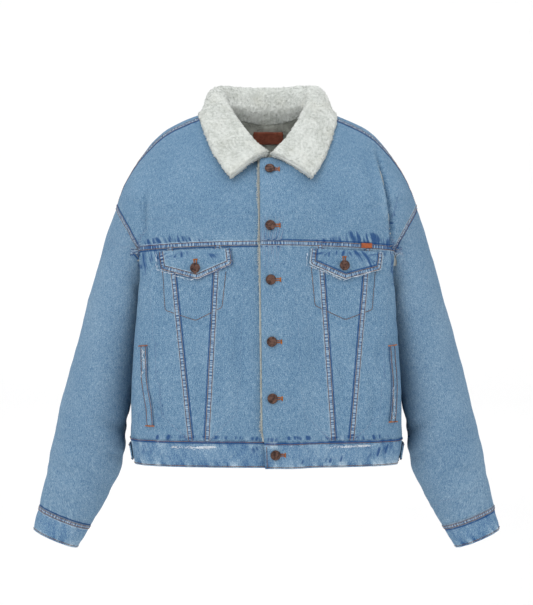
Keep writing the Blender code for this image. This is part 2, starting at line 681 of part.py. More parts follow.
def build_lining():
    """Sherpa behind the fronts and the back, from the waist seam to the neck and the armholes."""
    top, bottom = DENIM + LINING_GAP, DENIM + LINING_GAP + SHERPA
    for name, side in SIDES.items():
        low, high = plain(torso(side)), plain(yoke(side))
        peek = SHERPA_PEEK if side > 0 else 0.0
        body = to_side(down_seam(low, (-LAP - peek, -LAP - peek), SIDE_ROWS), 5, OVER_CHEST)
        upper = to_corner(front_edge(high, YOKE_ROWS, peek), 5, OVER_CHEST)[:, :-1]
        upper[0] = body[-1, :upper.shape[1]]
        wall(f"lining_{name}", joined(patch(low, body, clear_of_arm(body), top, bottom, ("end", "first")),
                                      patch(high, upper, YOKE_ROWS, top, bottom, ("last",)), 0), "sherpa")
    body = to_side(0 * SIDE_ROWS.ravel(), 4, OVER_CHEST)
    upper = to_corner(0 * YOKE_ROWS.ravel(), 4, OVER_CHEST)[:, :-1]
    body, upper = (np.concatenate([-half[:, :0:-1], half], axis=1) for half in (body, upper))
    wall("lining_back", joined(patch(plain(torso(1, True)), body, clear_of_arm(body), top, bottom, ("start", "end", "first")),
                               patch(plain(yoke(1, True)), upper, YOKE_ROWS, top, bottom, ("last",)), len(TO_SIDE) + 1), "sherpa")


def clear_of_arm(u):
    """The rows of a lining's lower part, which ends a little below the armhole so that the sleeve's wall passes."""
    return SIDE_ROWS * np.where(np.abs(u) > 0.98, 1 - ARM_MARGIN, 1.0)


# ---- the collar ----------------------------------------------------------------------------------

def neck_seam(at, depth):
    """A point on the neck's edge, `at` from the middle of the back (0) to the collar's front end (1 or -1)."""
    side, a = (1 if at >= 0 else -1), abs(at)
    if a <= 0.5:
        cloth, s = yoke(side, True), a / 0.5
    else:
        cloth = yoke(side)
        end = float(cloth.across(9.0 + side * COLLAR_MIDDLE_X, 1.0))
        s = end + (1 - end) * (1 - a) / 0.5
    here, below = cloth.leaf(s, 1.0, depth), cloth.leaf(s, 0.97, depth)
    return here, unit(here - below)


def lifted_off(points, distance):
    """Points moved out of the yokes until each is at least `distance` over the nearest place on them."""
    tree, places = KDTree(8 * 41 * 41), []
    for side in SIDES.values():
        for back in (False, True):
            cloth = yoke(side, back)
            s, t = np.meshgrid(np.linspace(-0.1 if side > 0 and not back else 0, 1, 41), np.linspace(0.3, 1, 41))
            here, out = cloth.leaf(s, t, 0.0), cloth.leaf(s, t, -1.0)
            places += list(zip(here.reshape(-1, 3), unit(out - here).reshape(-1, 3)))
    for number, (here, _) in enumerate(places):
        tree.insert(here, number)
    tree.balance()
    moved = points.reshape(-1, 3).copy()
    for number, least in enumerate(distance.ravel()):
        for _ in range(5):
            here, out = places[tree.find(moved[number])[1]]
            moved[number] += out * max(0.0, least - float(np.dot(moved[number] - here, out)))
    return moved.reshape(points.shape)


def build_collar():
    count, turns = 27, 12
    q = np.linspace(0, 1, turns)
    middle, half, base = np.zeros((turns, count, 3)), np.zeros((turns, count)), []
    for column, at in enumerate(np.linspace(-1, 1, count)):
        side, a = (1 if at >= 0 else -1), abs(at)
        out_base, rise = neck_seam(at, -0.2)
        stand = COLLAR_WALL - 3.0 * float(smooth((a - 0.7) / 0.3))
        in_base, _ = neck_seam(at, stand - 0.2)
        half[:, column] = np.where(q < 0.35, stand / 2, COLLAR_WALL / 2 * (1 - 0.25 * smooth((q - 0.85) / 0.15)))
        base.append((in_base + rise * BASE_RISE, out_base + rise * BASE_RISE))
        start = (in_base + out_base) / 2 + rise * BASE_RISE
        fold, edge = (np.array([through(COLLAR, f"{which}_{axis}", a) for axis in "xyz"]) for which in ("fold", "edge"))
        shift = smooth((a - 0.4) / 0.6)
        fold, edge = fold * [side, 1, 1], edge * [side, 1, 1]
        fold[1] -= lap_lift(side, fold)
        fold[0] += COLLAR_MIDDLE_X * shift
        edge[0] += COLLAR_TIP_SHIFT * shift
        out = unit((edge - start) * [1, 1, 0])
        up, roll = unit(fold - start), float(through(COLLAR, "roll", a))
        inner = bezier(start, start + (rise * 6 + up * 4) * roll / 13, fold - out * roll, fold, np.clip(q / 0.4, 0, 1))
        outer = bezier(fold, fold + out * roll * 1.3, edge + (fold - edge) * 0.4 + out * 8, edge,
                       np.clip((q - 0.4) / 0.6, 0, 1))
        middle[:, column] = np.where((q <= 0.4)[:, None], inner, outer)
    middle[q > 0.3] = lifted_off(middle[q > 0.3], half[q > 0.3] + COLLAR_CLEAR)
    normal = unit(np.cross(np.gradient(middle, axis=1), np.gradient(middle, axis=0)))
    face, back = middle + normal * half[..., None], middle - normal * half[..., None]
    for column, (inside, outside) in enumerate(base):
        face[0, column], back[0, column] = inside, outside
    wall("collar", [(face, back)], "sherpa")


# ---- what is sewn on -----------------------------------------------------------------------------

def on_top(layer, height):
    """The depths of a layer that lies `layer` above a surface and is `height` thick."""
    return -(layer + height), -layer


def build_flap(name, side):
    cloth = torso(side)
    across, down = np.meshgrid(np.array([0, 0.16, 0.33, 0.49, 0.66, 0.83, 1.0]), np.linspace(0, 1, 5))
    distance = between((between(FLAP_INNER_X, down), between(FLAP_OUTER_X, down)), across)
    bottom = np.interp(across, *zip(*FLAP_BOTTOM))
    u, _ = cloth.spot(distance, 0 * across + YOKE_FRONT_Z - 6)
    top = torso_top(np.abs(u)) - FLAP_DROP
    u, v = cloth.spot(distance, between((top, bottom), down))
    wall(f"flap_{name}", [patch(cloth, u, v, *on_top(FLAP_LIFT, FLAP_WALL))], "denim")
    distance, z = POCKET_BUTTONS[side]
    build_button(f"pocket_button_{name}", cloth, distance - side * button_line(z), z, FLAP_LIFT + FLAP_WALL)


def build_strip(name, cloth, u, v, width, height, finish):
    """A strip of a given width along a line of places on a surface."""
    pace = np.linalg.norm(cloth.at(u + 0.01, v) - cloth.at(u - 0.01, v), axis=-1) / 0.02
    reach = (width / 2 / pace)[:, None] * np.linspace(-1, 1, 4)
    wall(name, [patch(cloth, u[:, None] + reach, v[:, None] + 0 * reach, *on_top(LAYER_GAP, height))], finish)


def build_welts():
    for welt in WELTS:
        cloth = torso(welt.side)
        t = np.linspace(0, 1, 9)
        u, v = cloth.place(between(welt.x, t), between(welt.z, t))
        build_strip("welt_left" if welt.side > 0 else "welt_right", cloth, u, v, WELT_WIDTH, 2.2, "denim")


def build_tabs():
    for name, side in SIDES.items():
        u, v = np.meshgrid(WAIST_TAB_U, (np.array(WAIST_TAB_Z) - HEM_Z) / (WAIST_Z - HEM_Z))
        wall(f"waist_tab_{name}", [patch(band(side), u, v, *on_top(1.0, 2.4))], "denim")
    x, z = np.meshgrid(np.linspace(*CHEST_TAB["x"], 4), np.linspace(*CHEST_TAB["z"], 4))
    cloth = torso(1)
    u = cloth.across(x, 1.0 + 0 * x)
    v = 1 - (torso_top(u) - 0.4 - z).clip(0) / (torso_top(u) - WAIST_Z)
    above = (z - torso_top(u)).clip(0)
    low, high = patch(cloth, u, v, *on_top(1.7, CHEST_TAB["wall"]))
    wall("chest_tab", [(low + stack(0, 0, above), high + stack(0, 0, above))], "leather")
    x, z = np.meshgrid(np.linspace(*NECK_LABEL["x"], 8), np.linspace(*NECK_LABEL["z"], 4))
    rear = yoke(1, True)
    s, t = rear.place(x, z)
    depth = DENIM + LINING_GAP + SHERPA + 2.6
    wall("neck_label", [patch(rear, s, t, depth, depth + NECK_LABEL["wall"])], "leather")


def build_button(name, cloth, distance, z, layer=0.0):
    """A button that stands square to a surface, on a layer of that height."""
    u, v = (float(one[0]) for one in cloth.spot(np.array([distance]), np.array([z])))
    point, below = cloth.leaf(u, v, -(layer + BUTTON_LIFT)), cloth.leaf(u, v, 0)
    way = np.cross(cloth.leaf(u + 0.03, v, 0) - cloth.leaf(u - 0.03, v, 0), cloth.leaf(u, v + 0.02, 0) - cloth.leaf(u, v - 0.02, 0))
    lathe(name, BUTTON, BUTTON_STEPS, point, way * np.sign(np.dot(way, point - below)), "copper")


def build_buttons():
    for number, (x, z) in enumerate(FRONT_BUTTONS, 1):
        cloth = yoke(1) if z > YOKE_FRONT_Z else torso(1) if z > WAIST_Z else band(1)
        build_button(f"button_{number}", cloth, x - button_line(z), z, -YOKE_SAG if z > YOKE_FRONT_Z else 0.0)


def main():
    for obj in list(bpy.data.objects):
        bpy.data.objects.remove(obj, do_unlink=True)
    bpy.context.scene.collection.children.link(bpy.data.collections.new("sherpa_lined_jacket"))
    build_yokes()
    build_torso()
    build_sleeves()
    build_waistband()
    build_lining()
    build_collar()
    build_flap("left", 1)
    build_flap("right", -1)
    build_welts()
    build_tabs()
    build_buttons()


main()
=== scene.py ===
"""The looks of a sherpa lined denim trucker jacket, filled out and buttoned with nobody in it.

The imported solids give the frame. Each cloth piece is laid again on the surface its solid was made
from, with its seams, puckers, creases and pile, and takes the solid's place. Sizes are millimetres
until a mesh is written. The front faces -Y, the wearer's left is +X and +Z is up.
"""
from __future__ import annotations

import itertools
import logging
import math
from dataclasses import dataclass, field
from enum import Enum
from typing import Callable, NamedTuple, Sequence

import bmesh
import bpy
import numpy as np
from mathutils import Matrix, Vector
from mathutils.kdtree import KDTree

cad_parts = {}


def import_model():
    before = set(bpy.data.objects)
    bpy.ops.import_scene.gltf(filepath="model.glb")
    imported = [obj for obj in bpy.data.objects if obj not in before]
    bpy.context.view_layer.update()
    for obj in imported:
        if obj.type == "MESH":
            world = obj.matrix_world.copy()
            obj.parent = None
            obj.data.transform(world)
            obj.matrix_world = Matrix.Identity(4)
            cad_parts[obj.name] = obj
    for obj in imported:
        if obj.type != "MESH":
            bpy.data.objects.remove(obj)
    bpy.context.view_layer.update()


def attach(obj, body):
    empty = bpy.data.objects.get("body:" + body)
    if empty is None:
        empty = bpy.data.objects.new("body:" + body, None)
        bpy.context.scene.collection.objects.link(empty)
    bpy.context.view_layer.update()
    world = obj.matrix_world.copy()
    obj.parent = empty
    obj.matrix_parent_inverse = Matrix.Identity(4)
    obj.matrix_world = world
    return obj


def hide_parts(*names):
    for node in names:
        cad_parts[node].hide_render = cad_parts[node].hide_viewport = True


MM = 0.001
LOG = logging.getLogger("jacket")
Grid = np.ndarray
Place = Callable[[Grid, Grid], Grid]
Spot = tuple[float, float]


# ---- curves ------------------------------------------------------------------------------------

def through(rows: Sequence[NamedTuple], column: str, at: Grid | float) -> Grid:
    """A smooth curve through one named column of a table.

    Args:
        rows: The table, whose first column holds the knots.
        column: The column that the curve goes through.
        at: Where to read it.

    Returns:
        The values there.
    """
    knots = np.array([row[0] for row in rows], float)
    values = np.array([getattr(row, column) for row in rows], float)
    slopes = np.gradient(values, knots)
    at = np.clip(np.asarray(at, float), knots[0], knots[-1])
    i = np.clip(np.searchsorted(knots, at, side="right") - 1, 0, len(knots) - 2)
    span = knots[i + 1] - knots[i]
    t = (at - knots[i]) / span
    return (values[i] * (2 * t**3 - 3 * t**2 + 1) + slopes[i] * span * (t**3 - 2 * t**2 + t)
            + values[i + 1] * (3 * t**2 - 2 * t**3) + slopes[i + 1] * span * (t**3 - t**2))


def smooth(t: Grid | float) -> Grid:
    """0 below 0, 1 above 1 and an S between."""
    t = np.clip(t, 0.0, 1.0)
    return t * t * (3 - 2 * t)


def bump(distance: Grid, width: float) -> Grid:
    """A soft bell, 1 at distance 0."""
    return np.exp(-(distance / width)**2)


def between(pair: Sequence, t: Grid | float) -> Grid:
    """The value a share t of the way from the first of a pair to the second."""
    return pair[0] + (pair[1] - pair[0]) * np.asarray(t, float)


def stack(x: Grid | float, y: Grid | float, z: Grid | float) -> Grid:
    """Points from their coordinates."""
    return np.stack(np.broadcast_arrays(x, y, z), axis=-1).astype(float)


def unit(v: Grid) -> Grid:
    """The vectors at length 1."""
    return v / np.maximum(np.linalg.norm(v, axis=-1, keepdims=True), 1e-9)


def bezier(a: Grid, b: Grid, c: Grid, d: Grid, t: Grid | float) -> Grid:
    """Points at t on the cubic curve from a to d."""
    t = np.asarray(t, float)[..., None]
    return a * (1 - t)**3 + 3 * b * t * (1 - t)**2 + 3 * c * t * t * (1 - t) + d * t**3


def side_arc(middle: Grid, corner: Grid, heading: Grid, fullness: Sequence, s: Grid) -> Grid:
    """Half of a girth.

    Args:
        middle: Where it crosses the body's middle, square to it.
        corner: Where it ends, by the arm.
        heading: Its direction there.
        fullness: How full it is near each end.
        s: Where to read it, from 0 in the middle to 1 at the corner.

    Returns:
        The points there.
    """
    reach = np.abs(corner[..., 1] - middle[..., 1])[..., None]
    first, last = (np.asarray(full, float)[..., None] for full in fullness)
    return bezier(middle, middle + (corner - middle) * first * [1, 0, 0], corner - heading * reach * last,
                  corner, s)


def lengths(points: Grid, axis: int) -> Grid:
    """How far each point of a grid is along its row or column, from the first one.

    Args:
        points: The grid.
        axis: 1 along its rows, 0 along its columns.

    Returns:
        The lengths.
    """
    step = np.linalg.norm(np.diff(points, axis=axis), axis=-1)
    first = np.zeros_like(np.take(points[..., 0], [0], axis=axis))
    return np.concatenate([first, np.cumsum(step, axis=axis)], axis=axis)


def graded(length: float, fine: float, coarse: float, reach: float = 26.0,
           ends: tuple[bool, bool] = (True, True)) -> Grid:
    """Shares from 0 to 1 whose steps grow away from the ends.

    Args:
        length: The real length that they cover.
        fine: The step at an end.
        coarse: The step far from the ends.
        reach: How far from an end the steps grow.
        ends: Which ends are fine.

    Returns:
        The shares, in order.
    """
    spots = [0.0]
    while spots[-1] < length:
        near = min(spots[-1] if ends[0] else length, (length - spots[-1]) if ends[1] else length)
        spots.append(spots[-1] + fine + (coarse - fine) * min(max(near, 0.0) / reach, 1.0))
    return np.array(spots) / spots[-1]


class Noise:
    """Smooth noise in space, from -1 to 1, the same on each run."""

    def __init__(self, seed: int, size: float) -> None:
        """Fills a lattice of random values whose cells are `size` across."""
        self.values = np.random.default_rng(seed).uniform(-1, 1, (32, 32, 32))
        self.size = size

    def __call__(self, points: Grid) -> Grid:
        """The noise at points, in the units of the cells' size.

        Args:
            points: Where to read it.

        Returns:
            A value for each point.
        """
        cell = np.floor(points / self.size).astype(int)
        share = smooth(points / self.size - cell)
        total = np.zeros(points.shape[:-1])
        for corner in itertools.product((0, 1), repeat=3):
            weight = np.prod(np.where(corner, share, 1 - share), axis=-1)
            i, j, k = np.moveaxis((cell + corner) % 32, -1, 0)
            total += weight * self.values[i, j, k]
        return total


# ---- the form of the jacket, on the side with positive x -----------------------------------------

YOKE_Z, WAIST_Z, HEM_Z = -228.0, -558.0, -603.0
DENIM, LINING_GAP, SHERPA = 1.8, 2.4, 3.8
LAP, LAP_LIFT, LAP_FLAT_X, LAP_FADE = 17.5, 9.4, 37.0, 55.0
BACK_SEAM = (86.0, 148.0)
SIDE_U = 1.5
CREASE_DEG, CUFF_END, ARM_TOP = 105.0, 1.08, 0.34
DIP_FROM_DEG, DIP_OVER_DEG, DIP_X, DIP_Z, DIP_LENGTH = 108.0, 45.0, -5.5, 13.0, 0.035


class ArmWay(NamedTuple):
    """A direction out of the walls along the armhole, by degrees from its top."""

    deg: float
    x: float
    y: float
    z: float


class Section(NamedTuple):
    """A section of the sleeve, from the armhole (0) to the cuff's seam (1)."""

    at: float
    outer_x: float
    outer_z: float
    inner_x: float
    inner_z: float
    mid_y: float
    depth: float


class Fold(NamedTuple):
    """A soft trough across a sleeve, by its place, its size and how far it slants."""

    at: float
    deg: float
    length: float
    spread: float
    depth: float
    lean: float


class Girth(NamedTuple):
    """A girth of the torso. Its corners are before and behind the arm."""

    height: float
    corner_x: float
    corner_y: float
    out: float
    side_x: float
    pinch: float
    front_y: float
    back_corner_y: float
    back_y: float


class YokeRow(NamedTuple):
    """A line across the yokes, from their seam (0) past the armhole's top to the neck (1)."""

    at: float
    front_y: float
    front_z: float
    back_y: float
    back_z: float
    seam_x: float
    seam_y: float
    seam_z: float
    out: float
    up: float
    over: float
    full: float


class ArmCrease(NamedTuple):
    """The crease down a yoke in front of the arm."""

    at: float
    x: float
    depth: float


class Station(NamedTuple):
    """The collar's fold and its edge, from the middle of the back (0) to the front end (1)."""

    at: float
    fold_x: float
    fold_y: float
    fold_z: float
    edge_x: float
    edge_y: float
    edge_z: float
    roll: float


ARM_WAY = [
    ArmWay(0, 0.90, 0.00, 0.43),
    ArmWay(45, 0.62, -0.75, 0.20),
    ArmWay(85, 0.56, -0.82, 0.02),
    ArmWay(105, 0.84, -0.52, -0.15),
    ArmWay(122, 0.62, -0.42, -0.66),
    ArmWay(145, 0.30, -0.15, -0.94),
    ArmWay(180, 0.14, 0.00, -0.99),
]
SLEEVE = [
    Section(0.00, 262.0, -161, 193.5, -279, 5, 88),
    Section(0.08, 277.0, -200, 196.5, -306, 7, 83),
    Section(0.16, 289.0, -243, 202.5, -335, 8, 82),
    Section(0.28, 306.0, -303, 210.5, -374, 9, 81),
    Section(0.39, 322.0, -362, 219.3, -417, 10, 79),
    Section(0.51, 339.0, -424, 230.3, -465, 10, 76),
    Section(0.63, 356.0, -488, 239.6, -517, 9, 73),
    Section(0.74, 369.5, -545, 245.5, -565, 8, 69),
    Section(0.85, 381.0, -600, 253.0, -613, 6, 62),
    Section(0.93, 389.0, -642, 274.5, -660, 4, 52),
    Section(1.00, 398.0, -681, 307.0, -716, 2, 40),
    Section(1.08, 408.0, -722, 331.0, -755, 0, 37),
]
SLEEVE_FOLDS = [
    Fold(0.70, 150, 60, 0.028, 4.5, 0.0006),
    Fold(0.80, 125, 70, 0.022, 4.0, 0.0004),
    Fold(0.89, 100, 90, 0.020, 3.5, 0.0003),
    Fold(0.66, 205, 55, 0.028, 4.0, -0.0004),
    Fold(0.78, 235, 60, 0.024, 3.5, -0.0005),
    Fold(0.90, 330, 60, 0.020, 2.5, 0.0),
    Fold(0.16, 150, 40, 0.030, 4.0, 0.0010),
]
TORSO = [
    Girth(-615, 223, 58, 0.00, 227.0, 2.0, 141, 62, 121),
    Girth(-603, 225, 58, 0.00, 229.0, 2.0, 142, 63, 122),
    Girth(-580, 229, 60, 0.00, 234.0, 2.0, 145, 65, 124),
    Girth(-558, 231, 62, 0.00, 236.0, 2.0, 148, 67, 126),
    Girth(-517, 231, 65, 0.00, 231.5, 2.0, 150, 70, 125),
    Girth(-465, 230, 69, 0.00, 223.0, 2.0, 151, 74, 124),
    Girth(-417, 227, 72, 0.02, 211.5, 2.2, 150, 78, 124),
    Girth(-374, 224, 75, 0.05, 202.0, 2.6, 150, 81, 124),
    Girth(-335, 220, 78, 0.10, 193.0, 2.5, 150, 83, 125),
    Girth(-306, 218, 80, 0.16, 187.0, 2.6, 150, 85, 126),
    Girth(-279, 216, 82, 0.24, 181.0, 2.6, 150, 87, 127),
    Girth(-240, 216, 82, 0.35, 179.0, 2.6, 150, 90, 128),
]
YOKE = [
    YokeRow(0.00, 150, YOKE_Z, 128, YOKE_Z, 262, 5, -161, 0.35, 0.00, 0.00, 0.00),
    YokeRow(0.12, 150, -213, 128, -211, 262, 5, -161, 0.50, -0.05, 0.05, 0.01),
    YokeRow(0.24, 149, -199, 128, -195, 262, 5, -161, 0.26, -0.15, 0.15, 0.06),
    YokeRow(ARM_TOP, 147, -187, 127, -180, 262, 5, -161, 0.08, -0.28, 0.28, 0.11),
    YokeRow(0.46, 143, -168, 125, -150, 245, 2, -119, 0.00, 0.00, 0.25, 0.13),
    YokeRow(0.60, 136, -147, 118, -112, 218, -14, -74, 0.00, 0.28, 0.32, 0.10),
    YokeRow(0.74, 127, -127, 107, -73, 183, -26, -37, 0.00, 0.40, 0.42, 0.06),
    YokeRow(0.88, 115, -106, 92, -35, 128, -26, -8, 0.00, 0.42, 0.42, 0.02),
    YokeRow(1.00, 101, -88, 72, -3, 80, -18, 7, 0.00, 0.42, 0.42, 0.00),
]
FRONT_FULLNESS, BACK_FULLNESS = (0.62, 0.62), (0.60, 0.55)
CREASE_WIDTH = 15.0
ARM_CREASE = [
    ArmCrease(0.00, 207, 2),
    ArmCrease(0.12, 208, 5),
    ArmCrease(0.34, 205, 6),
    ArmCrease(0.60, 197, 3),
    ArmCrease(0.80, 188, 0),
    ArmCrease(1.00, 180, 0),
]
COLLAR = [
    Station(0.00, 0, 86, 52, 0, 108, -20, 13),
    Station(0.16, 42, 76, 54, 60, 98, -16, 13),
    Station(0.32, 70, 50, 54, 102, 60, -4, 13),
    Station(0.46, 75, 22, 47, 119, 14, 2, 13),
    Station(0.60, 67, -8, 24, 118, -34, -14, 13),
    Station(0.74, 55, -42, -18, 107, -78, -50, 12),
    Station(0.86, 42, -72, -50, 93, -112, -86, 10),
    Station(0.94, 27, -94, -68, 83, -126, -106, 9),
    Station(1.00, 10, -107, -79, 73, -136, -121, 7),
]
COLLAR_WALL, COLLAR_CLEAR, BASE_RISE, COLLAR_MIDDLE_X, COLLAR_TIP_SHIFT = 8.0, 2.2, 2.0, 5.5, 8.0


class SleeveForm:
    """The sleeve. Places are degrees round it from the outer edge over the front, and a share down it."""

    @staticmethod
    def turn_of(deg: Grid | float) -> Grid:
        """How far a place is from the outer edge, 0 to 180."""
        return 180 - np.abs(np.asarray(deg, float) % 360 - 180)

    @staticmethod
    def section(at: Grid) -> tuple[Grid, Grid, Grid]:
        """The outer edge, the inner edge and the depth of the section at a share down the sleeve.

        Args:
            at: The share down the sleeve.

        Returns:
            The outer edge, the inner edge and half the depth.
        """
        outer = stack(through(SLEEVE, "outer_x", at), 0, through(SLEEVE, "outer_z", at))
        inner = stack(through(SLEEVE, "inner_x", at), 0, through(SLEEVE, "inner_z", at))
        return outer, inner, through(SLEEVE, "depth", at)

    @classmethod
    def plain(cls, deg: Grid, at: Grid | float) -> Grid:
        """The sleeve's face without folds.

        Args:
            deg: Degrees round the sleeve.
            at: The share down it.

        Returns:
            The points there.
        """
        deg, at = np.broadcast_arrays(np.asarray(deg, float), np.asarray(at, float))
        a = np.radians(deg)
        outer, inner, depth = cls.section(at)
        middle = (outer + inner) / 2
        middle[..., 1] = through(SLEEVE, "mid_y", at)
        points = middle + np.cos(a)[..., None] * (outer - inner) / 2
        points = points + np.sin(a)[..., None] * stack(0, -depth, 0)
        dip = smooth((cls.turn_of(deg) - DIP_FROM_DEG) / DIP_OVER_DEG)
        bend = np.clip(at / DIP_LENGTH, 0, 1) * math.pi / 2
        return points + stack(DIP_X * dip * (1 - np.sin(bend)), 0, DIP_Z * dip * np.cos(bend))

    @classmethod
    def armhole(cls, deg: Grid | float) -> Grid:
        """The armhole's edge."""
        return cls.plain(deg, 0.0)

    @classmethod
    def arm_way(cls, deg: Grid | float) -> Grid:
        """The direction shared by all walls that meet at a place of the armhole.

        Args:
            deg: Degrees round the armhole.

        Returns:
            The directions.
        """
        turn = cls.turn_of(deg)
        x, y, z = (np.interp(turn, [row.deg for row in ARM_WAY], [getattr(row, axis) for row in ARM_WAY])
                   for axis in "xyz")
        return unit(stack(x, np.where(np.asarray(deg, float) % 360 > 180, -y, y), z))

    @classmethod
    def way(cls, deg: Grid, at: Grid) -> Grid:
        """The direction out of the sleeve's wall. It is the armhole's own direction there.

        Args:
            deg: Degrees round the sleeve.
            at: The share down it.

        Returns:
            The directions.
        """
        deg, at = np.broadcast_arrays(np.asarray(deg, float), np.asarray(at, float))
        a = np.radians(deg)
        outer, inner, depth = cls.section(at)
        half = np.linalg.norm(outer - inner, axis=-1) / 2
        out = unit((np.cos(a) * depth)[..., None] * unit(outer - inner)
                   + (np.sin(a) * half)[..., None] * np.array([0, -1.0, 0]))
        near = smooth(1 - at / 0.06)[..., None]
        return unit(out * (1 - near) + cls.arm_way(deg) * near)

    @classmethod
    def at(cls, deg: Grid, at: Grid) -> Grid:
        """The sleeve with its largest folds, which leave the armhole and the cuff's seam as they are.

        Args:
            deg: Degrees round the sleeve.
            at: The share down it.

        Returns:
            The points there.
        """
        deg, at = np.broadcast_arrays(np.asarray(deg, float), np.asarray(at, float))
        depth = np.zeros_like(at)
        for fold in SLEEVE_FOLDS:
            turn = (deg - fold.deg + 180) % 360 - 180
            depth += fold.depth * bump(turn, fold.length) * bump(at - fold.at - fold.lean * turn, fold.spread)
        depth *= smooth(at / 0.08) * smooth((1.0 - at) / 0.05)
        return cls.plain(deg, at) - depth[..., None] * cls.way(deg, at)


ARMPIT = SleeveForm.armhole(CREASE_DEG)
BACK_ARMPIT = SleeveForm.armhole(-CREASE_DEG)


class BodyForm:
    """The torso below the yoke seams, and the yokes over the shoulders."""

    @staticmethod
    def arm_deg(u: Grid | float) -> Grid:
        """Where on the armhole's lower arc the torso's place u lies."""
        return CREASE_DEG + (360 - 2 * CREASE_DEG) * np.clip(np.asarray(u, float) - 1, 0, 1)

    @classmethod
    def top(cls, u: Grid) -> Grid:
        """Height of the torso's upper edge: the yoke seams, and the armhole's lower arc between them.

        Args:
            u: 0 at the front's middle, 1 and 2 at the corners by the arm, 3 at the back's middle.

        Returns:
            The heights.
        """
        front = YOKE_Z + (ARMPIT[2] - YOKE_Z) * smooth(u)
        back = YOKE_Z + (ARMPIT[2] - YOKE_Z) * smooth(3 - u)
        return np.where(u <= 1, front, np.where(u >= 2, back, SleeveForm.armhole(cls.arm_deg(u))[..., 2]))

    @classmethod
    def girth(cls, s: Grid, z: Grid, back: bool) -> Grid:
        """The torso's face.

        Args:
            s: 0 at the middle of the front or the back, 1 at the corner by the arm, 1.5 at the side.
            z: The height.
            back: True for the back.

        Returns:
            The points there.
        """
        s, z = np.broadcast_arrays(np.asarray(s, float), np.asarray(z, float))
        flip = np.where(s < 0, -1.0, 1.0)
        u = 3 - np.abs(s) if back else np.abs(s)
        level = np.clip(z, TORSO[0].height, TORSO[-1].height)
        corner_x, corner_y, out, side_x, pinch, front_y, back_corner_y, back_y = (
            through(TORSO, name, level) for name in Girth._fields[1:])
        top = smooth((level + 275) / 35)
        corner_x = corner_x + (ARMPIT[0] - corner_x) * top
        corner_y = corner_y + (-ARMPIT[1] - corner_y) * top
        back_corner_y = back_corner_y + (BACK_ARMPIT[1] - back_corner_y) * top
        heading = unit(stack(out, 1, 0))
        front = side_arc(stack(0, -front_y, 0), stack(corner_x, -corner_y, 0), heading,
                         FRONT_FULLNESS, np.clip(u, 0, 1))
        rear = side_arc(stack(0, back_y, 0), stack(corner_x, back_corner_y, 0), heading * [1, -1, 1],
                        BACK_FULLNESS, np.clip(3 - u, 0, 1))
        deg = cls.arm_deg(u)
        near = np.sin(np.radians(deg)) / math.sin(math.radians(CREASE_DEG))
        side = stack(side_x + (corner_x - side_x) * np.abs(near)**pinch,
                     (back_corner_y - corner_y) / 2 - (back_corner_y + corner_y) / 2 * near, 0)
        below = np.clip((cls.top(u) - z) / DIP_Z, 0, 1)
        hung = 1 - np.sqrt(2 * below - below**2)
        side += (SleeveForm.armhole(deg) - side) * (hung[..., None] * [1, 1, 0])
        points = np.where((u <= 1)[..., None], front, np.where((u >= 2)[..., None], rear, side))
        points[..., 0] *= flip
        points[..., 2] = z
        return points

    @classmethod
    def level(cls, s: Grid, v: Grid, back: bool) -> Grid:
        """Height of the place v between the waist seam (0) and the torso's upper edge (1)."""
        u = 3 - np.abs(s) if back else np.abs(s)
        return WAIST_Z + (cls.top(u) - WAIST_Z) * np.asarray(v, float)

    @staticmethod
    def edge(t: Grid, back: bool) -> Grid:
        """The yoke's outer edge: up the armhole, then along the shoulder seam to the neck.

        Args:
            t: 0 at the yoke seam and 1 at the neck.
            back: True for the back yoke.

        Returns:
            The points there.
        """
        deg = CREASE_DEG * (1 - np.clip(t / ARM_TOP, 0, 1))
        seam = stack(*(through(YOKE, name, np.maximum(t, ARM_TOP))
                       for name in ("seam_x", "seam_y", "seam_z")))
        return np.where((t <= ARM_TOP)[..., None], SleeveForm.armhole(-deg if back else deg), seam)

    @classmethod
    def yoke(cls, s: Grid, t: Grid, back: bool) -> Grid:
        """The yoke's face.

        Args:
            s: 0 at the body's middle and 1 at the outer edge.
            t: 0 at the yoke seam and 1 at the neck.
            back: True for the back yoke.

        Returns:
            The points there.
        """
        s, t = np.broadcast_arrays(np.asarray(s, float), np.asarray(t, float))
        flip, s = np.where(s < 0, -1.0, 1.0), np.abs(s)
        corner = cls.edge(t, back)
        out, rise, full = (through(YOKE, name, t) for name in ("out", "over" if back else "up", "full"))
        which, turn, fullness = ("back", -1, BACK_FULLNESS) if back else ("front", 1, FRONT_FULLNESS)
        middle = stack(0, -turn * through(YOKE, f"{which}_y", t), through(YOKE, f"{which}_z", t))
        heading = unit(stack(out, turn, turn * rise))
        points = side_arc(middle, corner, heading, (fullness[0] + full, fullness[1] + full), s)
        run = points[..., 0] - through(ARM_CREASE, "x", t)
        depth = through(ARM_CREASE, "depth", t) * bump(run, CREASE_WIDTH)
        depth = depth * smooth(t / 0.06) * smooth((1 - s) / 0.08)
        points = points - depth[..., None] * cls.way(points)
        points[..., 0] *= flip
        return points

    @staticmethod
    def way(points: Grid) -> Grid:
        """The direction out of the body's walls.

        Args:
            points: Points of the body.

        Returns:
            The directions.
        """
        x, y, z = points[..., 0], points[..., 1], points[..., 2]
        low = unit(stack(2.76 * (x / 220)**3 * np.abs(x / 220), y / 79, 0))
        high = unit(stack(4 * (x / 280)**3 / 280, 2 * y / 120**2, 2 * (z + 200) / 210**2))
        rise = smooth((z + 244) / 90)[..., None]
        return unit(low * (1 - rise) + high * rise)


def button_line(z: Grid | float) -> Grid:
    """The x of the line the buttons stand on."""
    return np.interp(z, [-603, -558, -540, -100], [15.5, 14.0, 11.0, 5.6])


